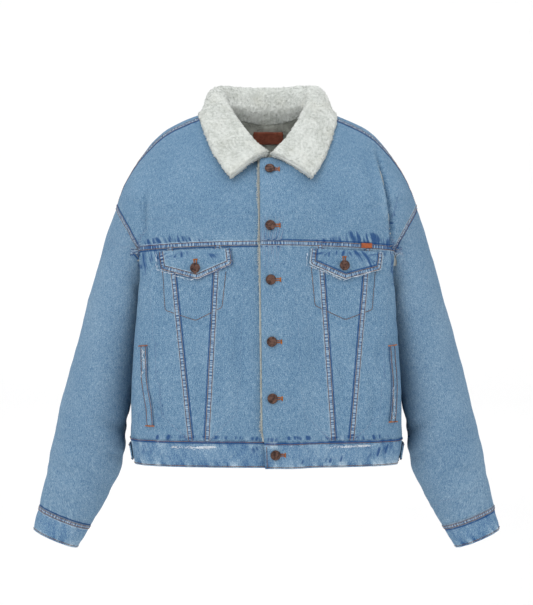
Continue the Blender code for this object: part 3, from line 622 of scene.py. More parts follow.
class Cloth:
    """A surface by places (u, v), on one side of the jacket."""

    def __init__(self, at: Place, side: int = 1, lifted: bool = False,
                 guess: tuple[float, float] = (0.5, 0.5)) -> None:
        """Keeps a surface.

        Args:
            at: The surface on the side with positive x.
            side: 1 for the wearer's left, -1 for the right.
            lifted: True for a front, whose left one stands off over the right one.
            guess: A place in the middle of it.
        """
        self.at, self.side, self.lifted, self.guess = at, side, lifted, guess

    def lift(self, points: Grid) -> Grid:
        """How far the wearer's left front stands off, over the other one."""
        high = LAP_LIFT * (1 - smooth((points[..., 0] - LAP_FLAT_X) / LAP_FADE))
        return high * (1.0 if self.lifted and self.side > 0 else 0.0)

    def frame(self, u: Grid, v: Grid) -> tuple[Grid, Grid]:
        """The points at places and the directions square out of the surface there.

        Args:
            u: Places across.
            v: Places up.

        Returns:
            The points and the directions, on the side with positive x.
        """
        u, v = np.broadcast_arrays(np.asarray(u, float), np.asarray(v, float))
        step = 2e-3
        here = self.at(u, v)
        over = self.at(u + step, v) - self.at(u - step, v)
        down = self.at(u, v + step) - self.at(u, v - step)
        normal = unit(np.cross(over, down))
        middle = stack(here[..., 0] * 0.55, 0, here[..., 2] * 0.55 - 150)
        if self.guess[0] > 10:
            middle = stack(*np.moveaxis((SleeveForm.plain(0.0, v) + SleeveForm.plain(180.0, v)) / 2, -1, 0))
        normal = normal * np.sign(np.sum(normal * (here - middle), axis=-1, keepdims=True))
        return here, normal

    def leaf(self, u: Grid, v: Grid, height: Grid | float = 0.0) -> Grid:
        """World points that stand `height` over the surface at places (u, v)."""
        here, normal = self.frame(u, v)
        return (here + normal * (np.asarray(height) + self.lift(here))[..., None]) * [self.side, 1, 1]

    def outward(self, u: Grid, v: Grid) -> Grid:
        """World directions out of the surface."""
        return self.frame(u, v)[1] * [self.side, 1, 1]

    def find(self, x: Grid, z: Grid) -> tuple[Grid, Grid]:
        """Places of points given by the surface's own x and z.

        Args:
            x: How far to the side, on the side with positive x.
            z: The height.

        Returns:
            The places u and v.
        """
        x, z = np.broadcast_arrays(np.asarray(x, float), np.asarray(z, float))
        u, v = (start + 0 * x for start in self.guess)
        step = 1e-3
        for _ in range(14):
            here = self.at(u, v)
            du, dv = (self.at(u + step, v) - here) / step, (self.at(u, v + step) - here) / step
            rx, rz = x - here[..., 0], z - here[..., 2]
            det = du[..., 0] * dv[..., 2] - dv[..., 0] * du[..., 2]
            det = np.where(np.abs(det) < 1.0, 1.0, det)
            u = np.clip(u + np.clip((rx * dv[..., 2] - rz * dv[..., 0]) / det, -0.2, 0.2), -0.5, 2.0)
            v = np.clip(v + np.clip((rz * du[..., 0] - rx * du[..., 2]) / det, -0.2, 0.2), -0.2, 1.2)
        return u, v


def torso(side: int, back: bool = False) -> Cloth:
    """The torso's front or back half on one side, from the waist seam (0) up."""
    return Cloth(lambda s, v: BodyForm.girth(s, BodyForm.level(s, v, back), back), side, not back)


def band(side: int, back: bool = False) -> Cloth:
    """The waistband's surface, from the hem (0) to the waist seam (1)."""
    return Cloth(lambda s, v: BodyForm.girth(s, between((HEM_Z, WAIST_Z), v), back), side, not back)


def yoke(side: int, back: bool = False) -> Cloth:
    """A yoke's surface."""
    return Cloth(lambda s, t: BodyForm.yoke(s, t, back), side, not back)


def front_at(side: int, z: float) -> Cloth:
    """The surface of a front at a height: its yoke, its body or its waistband."""
    return yoke(side) if z > YOKE_Z else torso(side) if z > WAIST_Z else band(side)


def sleeve(side: int) -> Cloth:
    """A sleeve's surface with its cuff."""
    return Cloth(SleeveForm.at, side, guess=(45.0, 0.5))


# ---- seams and the relief of the cloth -----------------------------------------------------------

class Group(Enum):
    """The groups that strips and threads are joined in."""

    FRONT = "front"
    BACK = "back"
    ARM = "arm"
    BAND = "band"
    TACKS = "tacks"
    FRAYS = "frays"


SEAM_REACH, SEAM_SPACING, FAR = 45.0, 700.0, 60.0
TUCK_SIZE, SMALL_TUCK_SIZE = (8.5, 42.0), (4.2, 17.0)


@dataclass
class Seam:
    """A line sewn on the cloth.

    Its points and the directions out of the cloth run along it; `across` is signed, positive to the
    left of its run when seen from outside.
    """

    name: str
    points: Grid
    normals: Grid
    half: float = 4.7
    rows: tuple[float, ...] = (-3.1, 3.1)
    pucker: float = 0.8
    reach: float = 14.0
    strip: bool = True
    group: Group = Group.FRONT
    turned: bool = False
    tangents: Grid = field(init=False)
    run: Grid = field(init=False)

    def __post_init__(self) -> None:
        """Spaces the points evenly and measures the line."""
        run = lengths(self.points, 0)
        count = max(int(run[-1] / 3.0), 4)
        even = np.linspace(0, run[-1], count)
        self.points = np.stack([np.interp(even, run, column) for column in self.points.T], axis=-1)
        self.normals = unit(np.stack([np.interp(even, run, column) for column in self.normals.T], axis=-1))
        self.run = even
        self.tangents = unit(np.gradient(self.points, axis=0))
        self.normals = unit(self.normals - self.tangents
                            * np.sum(self.normals * self.tangents, axis=-1, keepdims=True))

    def mark(self, off: Grid) -> Grid:
        """What a finish reads as the distance across. A turned seam shows one painted shadow line and no
        ladder.
        """
        return 4.6 + np.abs(off) if self.turned else off

    @property
    def across_way(self) -> Grid:
        """The directions across the line, along the cloth."""
        return np.cross(self.normals, self.tangents)

    def measure(self, points: Grid, reach: float) -> tuple[Grid, Grid, Grid]:
        """Which points lie near the line, and where.

        Args:
            points: A list of points.
            reach: How far from the line they count.

        Returns:
            The numbers of the points, how far across the line they are and how far along it.
        """
        low, high = self.points.min(axis=0) - reach, self.points.max(axis=0) + reach
        near = np.flatnonzero(np.all((points >= low) & (points <= high), axis=-1))
        keep, across, along = [], [], []
        for part in np.array_split(near, max(1, len(near) // 4000)):
            gap = np.linalg.norm(points[part][:, None] - self.points[None], axis=-1)
            nearest = gap.argmin(axis=1)
            inside = gap[np.arange(len(part)), nearest] < reach + 3
            part, nearest = part[inside], nearest[inside]
            off = points[part] - self.points[nearest]
            run = self.run[nearest] + np.sum(off * self.tangents[nearest], axis=-1)
            inside = np.abs(np.sum(off * self.normals[nearest], axis=-1)) < 14
            inside = inside & (run > -2) & (run < self.run[-1] + 2)
            keep.append(part[inside])
            across.append(np.sum(off * self.across_way[nearest], axis=-1)[inside])
            along.append(run[inside])
        return np.concatenate(keep), np.concatenate(across), np.concatenate(along)


@dataclass(frozen=True)
class Crease:
    """A trough in the cloth along points of (x, z), in front or behind. A ridge has a negative depth."""

    points: tuple[tuple[float, float], ...]
    width: float
    depth: float
    back: bool = False

    def height(self, points: Grid) -> Grid:
        """How far it moves each point.

        Args:
            points: A list of points.

        Returns:
            The heights, negative in the trough.
        """
        flat = points[:, [0, 2]]
        line = np.array(self.points, float)
        best, where, total = np.full(len(flat), 1e9), np.zeros(len(flat)), 0.0
        whole = float(np.sum(np.linalg.norm(np.diff(line, axis=0), axis=1)))
        for a, b in zip(line, line[1:]):
            run = float(np.linalg.norm(b - a))
            t = np.clip((flat - a) @ (b - a) / run**2, 0, 1)
            gap = np.linalg.norm(flat - a - t[:, None] * (b - a), axis=1)
            closer = gap < best
            best, where = np.where(closer, gap, best), np.where(closer, total + t * run, where)
            total += run
        share = where / whole
        fade = smooth(share / 0.3) * smooth((1 - share) / 0.3)
        facing = points[:, 1] > 0 if self.back else points[:, 1] < 20
        form = bump(best, self.width) - 0.35 * bump(best - 1.7 * self.width, self.width)
        return -self.depth * fade * form * facing


class TintAndShadePatch(NamedTuple):
    """A soft patch on the front whose colour is darker: darker dye in some, painted shade in others. It is
    paler where its amount is negative.
    """

    x: float
    z: float
    wide: float
    high: float
    amount: float
    turn: float = 0.0

    def amount_at(self, points: Grid) -> Grid:
        """How dark it makes each point.

        Args:
            points: A list of points.

        Returns:
            The amounts.
        """
        a = math.radians(self.turn)
        x, z = points[:, 0] - self.x, points[:, 2] - self.z
        across, up = x * math.cos(a) + z * math.sin(a), z * math.cos(a) - x * math.sin(a)
        return self.amount * bump(np.hypot(across / self.wide, up / self.high), 1.0) * (points[:, 1] < 30)


class Relief:
    """How the cloth stands over the frame's surfaces: its seams' puckers, its creases and its slackness."""

    def __init__(self) -> None:
        """Starts with no seams."""
        self.seams: list[Seam] = []
        self.creases: list[Crease] = []
        self.tint_and_shade_patches: list[TintAndShadePatch] = []
        self.rim: Grid | float = 0.0
        self.broad, self.middle, self.fine = Noise(3, 46.0), Noise(4, 17.0), Noise(5, 7.0)
        self.tuck, self.small_tuck = Noise(6, 1.0), Noise(7, 1.0)

    def folds(self, points: Grid) -> Grid:
        """How far the creases alone move each point."""
        return sum((crease.height(points) for crease in self.creases), np.zeros(len(points)))

    def height(self, points: Grid, slack: float = 1.0) -> tuple[Grid, dict[str, Grid]]:
        """The relief at points of the cloth.

        Args:
            points: A list of points on the surfaces.
            slack: How loose the cloth is away from its seams.

        Returns:
            The height of each point, and what its finish follows: how far it is across and along the nearest
            seam, how pale or dark its relief makes it, which is wear and painted shade, and how much its
            patches darken it, which is dye and painted shade.
        """
        count = len(points)
        across, along, pull = np.full(count, FAR), np.zeros(count), np.zeros(count)
        high, hold = np.zeros(count), np.ones(count)
        for number, seam in enumerate(self.seams):
            near, off, run = seam.measure(points, SEAM_REACH)
            if not len(near):
                continue
            gap = np.abs(off)
            lean = run + 0.35 * off
            place = stack(lean / TUCK_SIZE[0], number * 3.7, gap / TUCK_SIZE[1])
            small = stack(lean / SMALL_TUCK_SIZE[0], number * 5.3 + 9, gap / SMALL_TUCK_SIZE[1])
            tuck = self.tuck(place) * np.exp(-gap / seam.reach)
            tuck = tuck + 0.45 * self.small_tuck(small) * np.exp(-gap / (0.5 * seam.reach))
            high[near] += seam.pucker * tuck - 0.35 * seam.pucker * bump(gap, 9.0)
            hold[near] = np.minimum(hold[near], 0.25 + 0.75 * smooth(gap / 30))
            pull[near] += tuck * np.exp(-gap / 20) * min(seam.pucker, 1.4)
            closer = (gap < np.abs(across[near])) & seam.strip
            across[near] = np.where(closer, seam.mark(off), across[near])
            along[near] = np.where(closer, run + number * SEAM_SPACING, along[near])
        loose = 1.3 * self.broad(points) + 0.55 * self.middle(points) + 0.16 * self.fine(points)
        folds = self.folds(points)
        high += slack * hold * loose + folds
        # How much the patches darken the colour: darker dye and painted shade.
        dye = np.zeros(count) + self.rim
        for patch in self.tint_and_shade_patches:
            dye += patch.amount_at(points)
        # How pale or dark the puckers, creases and slack make the colour: wear and painted shade in the
        # troughs.
        return high, {"across": across, "along": along, "pull": pull + 0.16 * folds + 0.22 * loose,
                      "dye": dye}


def link(name: str, bm: bmesh.types.BMesh) -> bpy.types.Object:
    """Makes an object of a bmesh and shows it.

    Args:
        name: The object's name.
        bm: The bmesh, which is freed.

    Returns:
        The object.
    """
    mesh = bpy.data.meshes.new(name)
    bm.to_mesh(mesh)
    bm.free()
    mesh.shade_smooth()
    obj = bpy.data.objects.new(name, mesh)
    bpy.context.scene.collection.objects.link(obj)
    return obj


def weld(obj: bpy.types.Object, capped: bool = False) -> None:
    """Joins an object's points that lie on each other, and closes it if asked.

    Args:
        obj: The object.
        capped: True to cap its open ends and turn its faces out.
    """
    bm = bmesh.new()
    bm.from_mesh(obj.data)
    bmesh.ops.remove_doubles(bm, verts=bm.verts, dist=5e-6)
    if capped:
        bmesh.ops.holes_fill(bm, edges=bm.edges[:], sides=0)
        bmesh.ops.recalc_face_normals(bm, faces=bm.faces[:])
    bm.to_mesh(obj.data)
    bm.free()
    obj.data.shade_smooth()


def thicken(obj: bpy.types.Object, wall: float, finish: bpy.types.Material) -> None:
    """Gives a laid piece its wall, which grows inward, and its finish.

    Args:
        obj: The piece.
        wall: How thick it becomes.
        finish: Its material.
    """
    solid = obj.modifiers.new("wall", "SOLIDIFY")
    solid.thickness, solid.offset = wall * MM, -1
    obj.data.materials.append(finish)


def rod(sides: int) -> tuple[Grid, list[list[int]]]:
    """A closed rod of two lengths from z 0 to z 2, for copying: its points and its faces.

    Args:
        sides: How many sides it has.

    Returns:
        Its points and its faces.
    """
    bm = bmesh.new()
    bmesh.ops.create_circle(bm, segments=sides, radius=1.0)
    ring = bm.edges[:]
    for _ in range(2):
        made = bmesh.ops.extrude_edge_only(bm, edges=ring)["geom"]
        ring = [edge for edge in made if isinstance(edge, bmesh.types.BMEdge)]
        bmesh.ops.translate(bm, verts=[vert for vert in made if isinstance(vert, bmesh.types.BMVert)],
                            vec=(0, 0, 1))
    bmesh.ops.holes_fill(bm, edges=bm.edges[:])
    bmesh.ops.recalc_face_normals(bm, faces=bm.faces[:])
    bm.verts.ensure_lookup_table()
    form = np.array([vert.co[:] for vert in bm.verts])
    faces = [[vert.index for vert in face.verts] for face in bm.faces]
    bm.free()
    return form, faces


def write_values(mesh: bpy.types.Mesh, key: str, values: Grid) -> None:
    """Keeps a value for each point of a mesh, which a finish can read."""
    mesh.attributes.new(key, "FLOAT", "POINT").data.foreach_set("value", values.astype(np.float32).ravel())


def grid_object(name: str, points: Grid, outward: Grid, flat: Grid | None = None,
                marks: dict[str, Grid] | None = None) -> bpy.types.Object:
    """A grid mesh through points.

    Args:
        name: The object's name.
        points: Rows and columns of points in millimetres.
        outward: A direction for each point, in which its faces look.
        flat: The same points before their relief, whose lengths give the cloth's own map.
        marks: Values for each point that the finish follows.

    Returns:
        The object.
    """
    rows, columns = points.shape[:2]
    bm = bmesh.new()
    bmesh.ops.create_grid(bm, x_segments=columns - 1, y_segments=rows - 1, size=1)
    i, j = rows // 2, columns // 2
    turn = np.cross(points[i, j] - points[i, j - 1], points[i, j] - points[i - 1, j])
    if float(np.dot(turn, outward.reshape(rows, columns, 3)[i, j])) < 0:
        bmesh.ops.reverse_faces(bm, faces=bm.faces[:])
    obj = link(name, bm)
    mesh = obj.data
    mesh.vertices.foreach_set("co", (points * MM).astype(np.float32).ravel())
    flat = points if flat is None else flat
    places = np.stack([lengths(flat, 1), lengths(flat, 0)], axis=-1).reshape(-1, 2) * MM
    corners = np.empty(len(mesh.loops), np.int32)
    mesh.loops.foreach_get("vertex_index", corners)
    mesh.uv_layers.new(name="cloth").data.foreach_set("uv", places[corners].astype(np.float32).ravel())
    for key, values in (marks or {}).items():
        write_values(mesh, key, values)
    mesh.update()
    return obj


def panel(name: str, points: Grid, outward: Grid, relief: Relief, finish: bpy.types.Material,
          slack: float = 1.0, wall: float = DENIM, closed: bool = False) -> bpy.types.Object:
    """A piece of cloth laid over a surface with its relief.

    Args:
        name: Its name.
        points: Rows and columns of points on the surface.
        outward: The directions out of it.
        relief: What makes it stand and sink.
        finish: Its material.
        slack: How loose the cloth is.
        wall: How thick it is.
        closed: True where its last column meets its first.

    Returns:
        The piece.
    """
    high, marks = relief.height(points.reshape(-1, 3), slack)
    high = high.reshape(points.shape[:2])
    if closed:
        for values in (high, *(mark.reshape(points.shape[:2]) for mark in marks.values())):
            values[:, -1] = values[:, 0]
    obj = grid_object(name, points + outward * high[..., None], outward, points, marks)
    if closed:
        weld(obj)
    thicken(obj, wall, finish)
    return obj


# ---- small things sewn in ------------------------------------------------------------------------

class Threads:
    """Many short threads, made in one mesh, each a four sided spindle with a raised middle."""

    def __init__(self, name: str) -> None:
        """Starts with none.

        Args:
            name: The mesh's name.
        """
        self.name = name
        self.starts: list[Grid] = []
        self.ends: list[Grid] = []
        self.outs: list[Grid] = []
        self.sizes: list[Grid] = []

    def add(self, start: Grid, end: Grid, out: Grid, width: float, rise: float) -> None:
        """Adds threads.

        Args:
            start: Where each begins.
            end: Where each ends.
            out: The direction out of the cloth at each.
            width: How thick they are.
            rise: How far their middle stands over the line between their ends.
        """
        self.starts.append(start)
        self.ends.append(end)
        self.outs.append(out)
        self.sizes.append(np.tile([width, rise], (len(start), 1)))

    def build(self, finish: bpy.types.Material) -> bpy.types.Object:
        """Makes the mesh from copies of one spindle.

        Args:
            finish: The thread's material.

        Returns:
            The object.
        """
        start, end, out, sizes = (np.concatenate(part)
                                  for part in (self.starts, self.ends, self.outs, self.sizes))
        form, faces = rod(4)
        run = unit(end - start)
        side = unit(np.cross(out, run))
        up = np.cross(run, side)
        share = form[:, 2] / 2
        thick = np.interp(share, [0, 0.5, 1], [0.55, 1.0, 0.55])
        arch = 4 * share * (1 - share)
        places = (start[:, None] + (end - start)[:, None] * share[None, :, None]
                  + side[:, None] * (form[:, 0] * thick)[None, :, None] * sizes[:, None, :1] / 2
                  + up[:, None] * ((form[:, 1] * thick)[None, :, None] * sizes[:, None, :1] / 2
                                   + arch[None, :, None] * sizes[:, None, 1:]))
        return many(self.name, places, faces, finish)


def many(name: str, places: Grid, faces: Sequence[Sequence[int]],
         finish: bpy.types.Material) -> bpy.types.Object:
    """One mesh of many copies of a small form.

    Args:
        name: The object's name.
        places: For each copy, its points in millimetres.
        faces: The form's faces.
        finish: Its material.

    Returns:
        The object.
    """
    copies, size = places.shape[:2]
    widths = np.array([len(face) for face in faces])
    corners = np.concatenate(faces)[None] + (np.arange(copies) * size)[:, None]
    mesh = bpy.data.meshes.new(name)
    mesh.vertices.add(copies * size)
    mesh.vertices.foreach_set("co", (places * MM).astype(np.float32).ravel())
    mesh.loops.add(corners.size)
    mesh.loops.foreach_set("vertex_index", corners.astype(np.int32).ravel())
    starts = np.concatenate([[0], np.cumsum(widths)[:-1]])[None] + (np.arange(copies) * widths.sum())[:, None]
    mesh.polygons.add(starts.size)
    mesh.polygons.foreach_set("loop_start", starts.astype(np.int32).ravel())
    mesh.update(calc_edges=True)
    mesh.shade_smooth()
    mesh.materials.append(finish)
    obj = bpy.data.objects.new(name, mesh)
    bpy.context.scene.collection.objects.link(obj)
    return obj


STRIP_PROFILE = [(-1.0, -0.7), (-1.0, 0.35), (-0.95, 0.8), (-0.8, 0.95), (-0.66, 0.62), (-0.5, 0.95),
                 (-0.2, 1.1), (0.2, 1.1), (0.5, 0.95), (0.66, 0.62), (0.8, 0.95), (0.95, 0.8), (1.0, 0.35),
                 (1.0, -0.7), (-1.0, -0.7)]
STITCH, STITCH_GAP, THREAD, STITCH_RISE = 3.0, 0.45, 1.25, 0.28
STRIP_STEP, BAR_PITCH, LOOSE_THREAD, THREAD_RISE = 3.4, 0.8, 0.62, 0.35


class Sewing:
    """The strips folded over the seams and the stitches through them."""

    def __init__(self, relief: Relief) -> None:
        """Starts with nothing sewn.

        Args:
            relief: The relief of the cloth that is sewn.
        """
        self.relief = relief
        self.parts: dict[Group, list[bpy.types.Object]] = {}
        self.threads: dict[Group, Threads] = {}

    def at(self, seam: Seam, run: Grid, across: Grid, height: Grid | float) -> tuple[Grid, Grid]:
        """Points over a seam, with its relief, and the directions out of the cloth there.

        Args:
            seam: The seam.
            run: How far along it.
            across: How far across it.
            height: How far over the cloth.

        Returns:
            The points and the directions.
        """
        run, across = np.broadcast_arrays(run, across)
        spot, out, way = (np.stack([np.interp(run, seam.run, column) for column in part.T], axis=-1)
                          for part in (seam.points, seam.normals, seam.across_way))
        flat = spot + way * across[..., None]
        high, _ = self.relief.height(flat.reshape(-1, 3), 1.0)
        return flat + out * (high.reshape(run.shape) + height)[..., None], out

    def strip(self, seam: Seam, finish: bpy.types.Material) -> None:
        """Lays a seam's folded strip.

        Args:
            seam: The seam.
            finish: The strip's material.
        """
        profile = np.array(STRIP_PROFILE)
        steps = max(int(seam.run[-1] / STRIP_STEP), 4)
        run, across = np.meshgrid(np.linspace(0.0, seam.run[-1], steps), profile[:, 0] * seam.half,
                                  indexing="ij")
        points, out = self.at(seam, run, across, 0.0)
        points += out * profile[:, 1][None, :, None]
        points[:, -1] = points[:, 0]
        found = self.relief.height(points.reshape(-1, 3), 0.0)[1]
        marks = {**found, "across": seam.mark(across),
                 "along": run + SEAM_SPACING * self.relief.seams.index(seam)}
        grid = grid_object(f"strip_{seam.name}", points, out, None, marks)
        weld(grid, capped=True)
        grid.data.materials.append(finish)
        self.parts.setdefault(seam.group, []).append(grid)

    def row(self, seam: Seam, across: float, height: float) -> None:
        """Sews a row of stitches along a seam.

        Args:
            seam: The seam.
            across: How far across it the row lies.
            height: How far over the cloth.
        """
        starts = np.arange(0.5, seam.run[-1] - STITCH, STITCH + STITCH_GAP)
        first, out = self.at(seam, starts, np.full_like(starts, across), height)
        last, _ = self.at(seam, starts + STITCH, np.full_like(starts, across), height)
        self.thread(seam.group).add(first, last, out, THREAD, STITCH_RISE)

    def thread(self, group: Group) -> Threads:
        """The threads of a group of pieces."""
        return self.threads.setdefault(group, Threads(f"stitches_{group.value}"))

    def laid(self, group: Group, cloth: Cloth, starts: Grid, ends: Grid, height: float, width: float) -> None:
        """Lays threads on a surface from some (x, z) to others.

        Args:
            group: The threads' group.
            cloth: The surface.
            starts: Where they begin.
            ends: Where they end.
            height: How far they lie over the surface.
            width: How thick they are.
        """
        tips = []
        for place in (starts, ends):
            u, v = cloth.find(place[:, 0] * cloth.side, place[:, 1])
            flat, out = cloth.leaf(u, v, 0.0), cloth.outward(u, v)
            tips.append(flat + out * (self.relief.height(flat)[0] + height)[:, None])
        self.thread(group).add(*tips, out, width, THREAD_RISE)

    def bar(self, cloth: Cloth, start: Spot, end: Spot, wide: float, height: float) -> None:
        """Sews close threads across a line from one (x, z) to another on a surface.

        Args:
            cloth: The surface.
            start: Where the bar begins.
            end: Where it ends.
            wide: How long its threads are.
            height: How far they stand over the surface.
        """
        a, b = np.array(start, float), np.array(end, float)
        length = float(np.linalg.norm(b - a))
        count = max(int(length / BAR_PITCH), 2)
        spots = a + (b - a) * np.linspace(0, 1, count)[:, None]
        side = np.array([-(b - a)[1], (b - a)[0]]) / max(length, 1e-6) * wide / 2
        slant = (b - a) / count * 0.4
        self.laid(Group.TACKS, cloth, spots - side, spots + side + slant, height, BAR_PITCH * 1.25)

    def loose(self, cloth: Cloth, start: Spot, end: Spot, spread: float, count: int, height: float) -> None:
        """Lays loose white threads about a line of (x, z) on a surface, where the cloth is worn through.

        Args:
            cloth: The surface.
            start: Where the line begins.
            end: Where it ends.
            spread: How far the threads stray from it.
            count: How many threads.
            height: How far they lie over the surface.
        """
        chance = np.random.default_rng(int(abs(start[0]) * 10))
        a, b = np.array(start, float), np.array(end, float)
        way = (b - a) / np.linalg.norm(b - a)
        spots = a + (b - a) * chance.uniform(0, 1, (count, 1)) + chance.normal(0, spread / 2, (count, 2))
        reach = chance.uniform(1.2, 4.2, (count, 1)) * way + chance.normal(0, 0.9, (count, 2))
        self.laid(Group.FRAYS, cloth, spots - reach / 2, spots + reach / 2, height, LOOSE_THREAD)


# ---- finishes ------------------------------------------------------------------------------------

class Value:
    """A number that varies over a surface, held as a node's socket."""

    def __init__(self, tree: bpy.types.NodeTree, socket: bpy.types.NodeSocket) -> None:
        """Wraps a socket of a tree."""
        self.tree, self.socket = tree, socket

    def maths(self, operation: str, *others: "Value | float") -> "Value":
        """Adds a Math node on this value and others.

        Args:
            operation: What the node does.
            others: The other terms.

        Returns:
            The result.
        """
        made = self.tree.nodes.new("ShaderNodeMath")
        made.operation = operation
        for place, term in zip(made.inputs, (self, *others)):
            if isinstance(term, Value):
                self.tree.links.new(term.socket, place)
            else:
                place.default_value = term
        return Value(self.tree, made.outputs[0])

    def __add__(self, other: "Value | float") -> "Value":
        """The sum."""
        return self.maths("ADD", other)

    __radd__ = __add__

    def __mul__(self, other: "Value | float") -> "Value":
        """The product."""
        return self.maths("MULTIPLY", other)

    __rmul__ = __mul__

    def __sub__(self, other: "Value | float") -> "Value":
        """The difference."""
        return self.maths("SUBTRACT", other)

    def __abs__(self) -> "Value":
        """Its size without its sign."""
        return self.maths("ABSOLUTE")

    def over(self, low: float, high: float) -> "Value":
        """0 below `low`, 1 above `high` and an S between. `low` may be the larger one.

        Args:
            low: Where it is 0.
            high: Where it is 1.

        Returns:
            The result.
        """
        made = self.tree.nodes.new("ShaderNodeMapRange")
        made.interpolation_type = "SMOOTHSTEP"
        first, last, lows, highs = (low, high, 0.0, 1.0) if low < high else (high, low, 1.0, 0.0)
        for name, value in (("From Min", first), ("From Max", last), ("To Min", lows), ("To Max", highs)):
            made.inputs[name].default_value = value
        self.tree.links.new(self.socket, made.inputs["Value"])
        return Value(self.tree, made.outputs["Result"])

    def between(self, low: float, high: float, soft: float) -> "Value":
        """1 from `low` to `high`, 0 outside, with soft edges."""
        return self.over(low - soft, low + soft) * self.over(high + soft, high - soft)


Colour = tuple[float, float, float]
NOISE_GAIN = 4.0


def colour_of(code: str) -> Colour:
    """A screen colour's code as linear light."""
    parts = (int(code[i:i + 2], 16) / 255 for i in (0, 2, 4))
    return tuple(part / 12.92 if part < 0.04045 else ((part + 0.055) / 1.055)**2.4 for part in parts)


class Finish:
    """A material whose nodes are added by name and linked by hand."""

    def __init__(self, name: str, roughness: float = 0.9, **sockets: float | Colour) -> None:
        """Makes the material and sets its shader's constant sockets.

        Args:
            name: Its name.
            roughness: How rough it is.
            sockets: Other sockets. An underscore stands for a space.
        """
        self.material = bpy.data.materials.new(name)
        self.material.use_nodes = True
        self.tree = self.material.node_tree
        self.shader = self.tree.nodes["Principled BSDF"]
        self.shader.inputs["Roughness"].default_value = roughness
        for key, value in sockets.items():
            place = self.shader.inputs[key.replace("_", " ")]
            place.default_value = (*value, 1.0) if isinstance(value, tuple) else value

    def node(self, kind: str, settings: dict | None = None, **inputs: object) -> bpy.types.Node:
        """Adds a node.

        Args:
            kind: Its type, without the leading ShaderNode.
            settings: Its own settings, set first.
            inputs: Values or links for its sockets. An underscore stands for a space.

        Returns:
            The node.
        """
        made = self.tree.nodes.new(f"ShaderNode{kind}")
        for key, value in (settings or {}).items():
            setattr(made, key, value)
        for key, value in inputs.items():
            place = made.inputs[key.replace("_", " ")]
            if isinstance(value, Value):
                self.tree.links.new(value.socket, place)
            elif isinstance(value, bpy.types.NodeSocket):
                self.tree.links.new(value, place)
            else:
                place.default_value = value
        return made

    def value(self, name: str) -> Value:
        """A value that the mesh holds for each point."""
        made = self.node("Attribute", {"attribute_type": "GEOMETRY", "attribute_name": name})
        return Value(self.tree, made.outputs["Fac"])

    def place(self, scale: tuple[float, float, float], turn: float = 0.0,
              cloth: bool = True) -> bpy.types.NodeSocket:
        """The cloth's own map, or the object's coordinates, scaled and turned in its plane."""
        coordinates = self.node("TexCoord").outputs["UV" if cloth else "Object"]
        return self.node("Mapping", Vector=coordinates, Scale=scale, Rotation=(0.0, 0.0, turn)).outputs[0]

    def space(self) -> bpy.types.NodeSocket:
        """The object's own coordinates."""
        return self.place((1.0, 1.0, 1.0), cloth=False)

    def noise(self, where: bpy.types.NodeSocket, scale: float = 1.0, detail: float = 2.0,
              roughness: float = 0.5) -> Value:
        """Noise about 0, from about -1 to 1.

        Args:
            where: The coordinates.
            scale: Its scale.
            detail: How many octaves it has.
            roughness: How strong they are.

        Returns:
            The noise.
        """
        facts = {"Scale": scale, "Detail": detail, "Roughness": roughness}
        made = self.node("TexNoise", {"noise_dimensions": "3D"}, Vector=where, **facts)
        return (Value(self.tree, made.outputs["Fac"]) - 0.5) * NOISE_GAIN

    def mix(self, share: Value, first: object, second: object) -> bpy.types.NodeSocket:
        """A colour between two.

        Args:
            share: 0 for the first and 1 for the second.
            first: A colour or a link.
            second: Another.

        Returns:
            The colour.
        """
        made = self.tree.nodes.new("ShaderNodeMix")
        made.data_type, made.clamp_factor = "RGBA", True
        self.tree.links.new(share.socket, made.inputs["Factor"])
        for place, colour in ((made.inputs[6], first), (made.inputs[7], second)):
            if isinstance(colour, bpy.types.NodeSocket):
                self.tree.links.new(colour, place)
            else:
                place.default_value = (*colour, 1.0)
        return made.outputs[2]

    def vector(self, x: Value | float, y: Value | float, z: Value | float = 0.0) -> bpy.types.NodeSocket:
        """A vector of three values."""
        return self.node("CombineXYZ", X=x, Y=y, Z=z).outputs[0]

    def set(self, name: str, value: object) -> None:
        """Links a value to the shader's own socket."""
        self.tree.links.new(value.socket if isinstance(value, Value) else value, self.shader.inputs[name])

    def bump(self, height: Value, distance: float, strength: float = 1.0) -> None:
        """Raises and sinks the surface's light by a height."""
        made = self.node("Bump", Height=height, Distance=distance, Strength=strength)
        self.set("Normal", made.outputs[0])


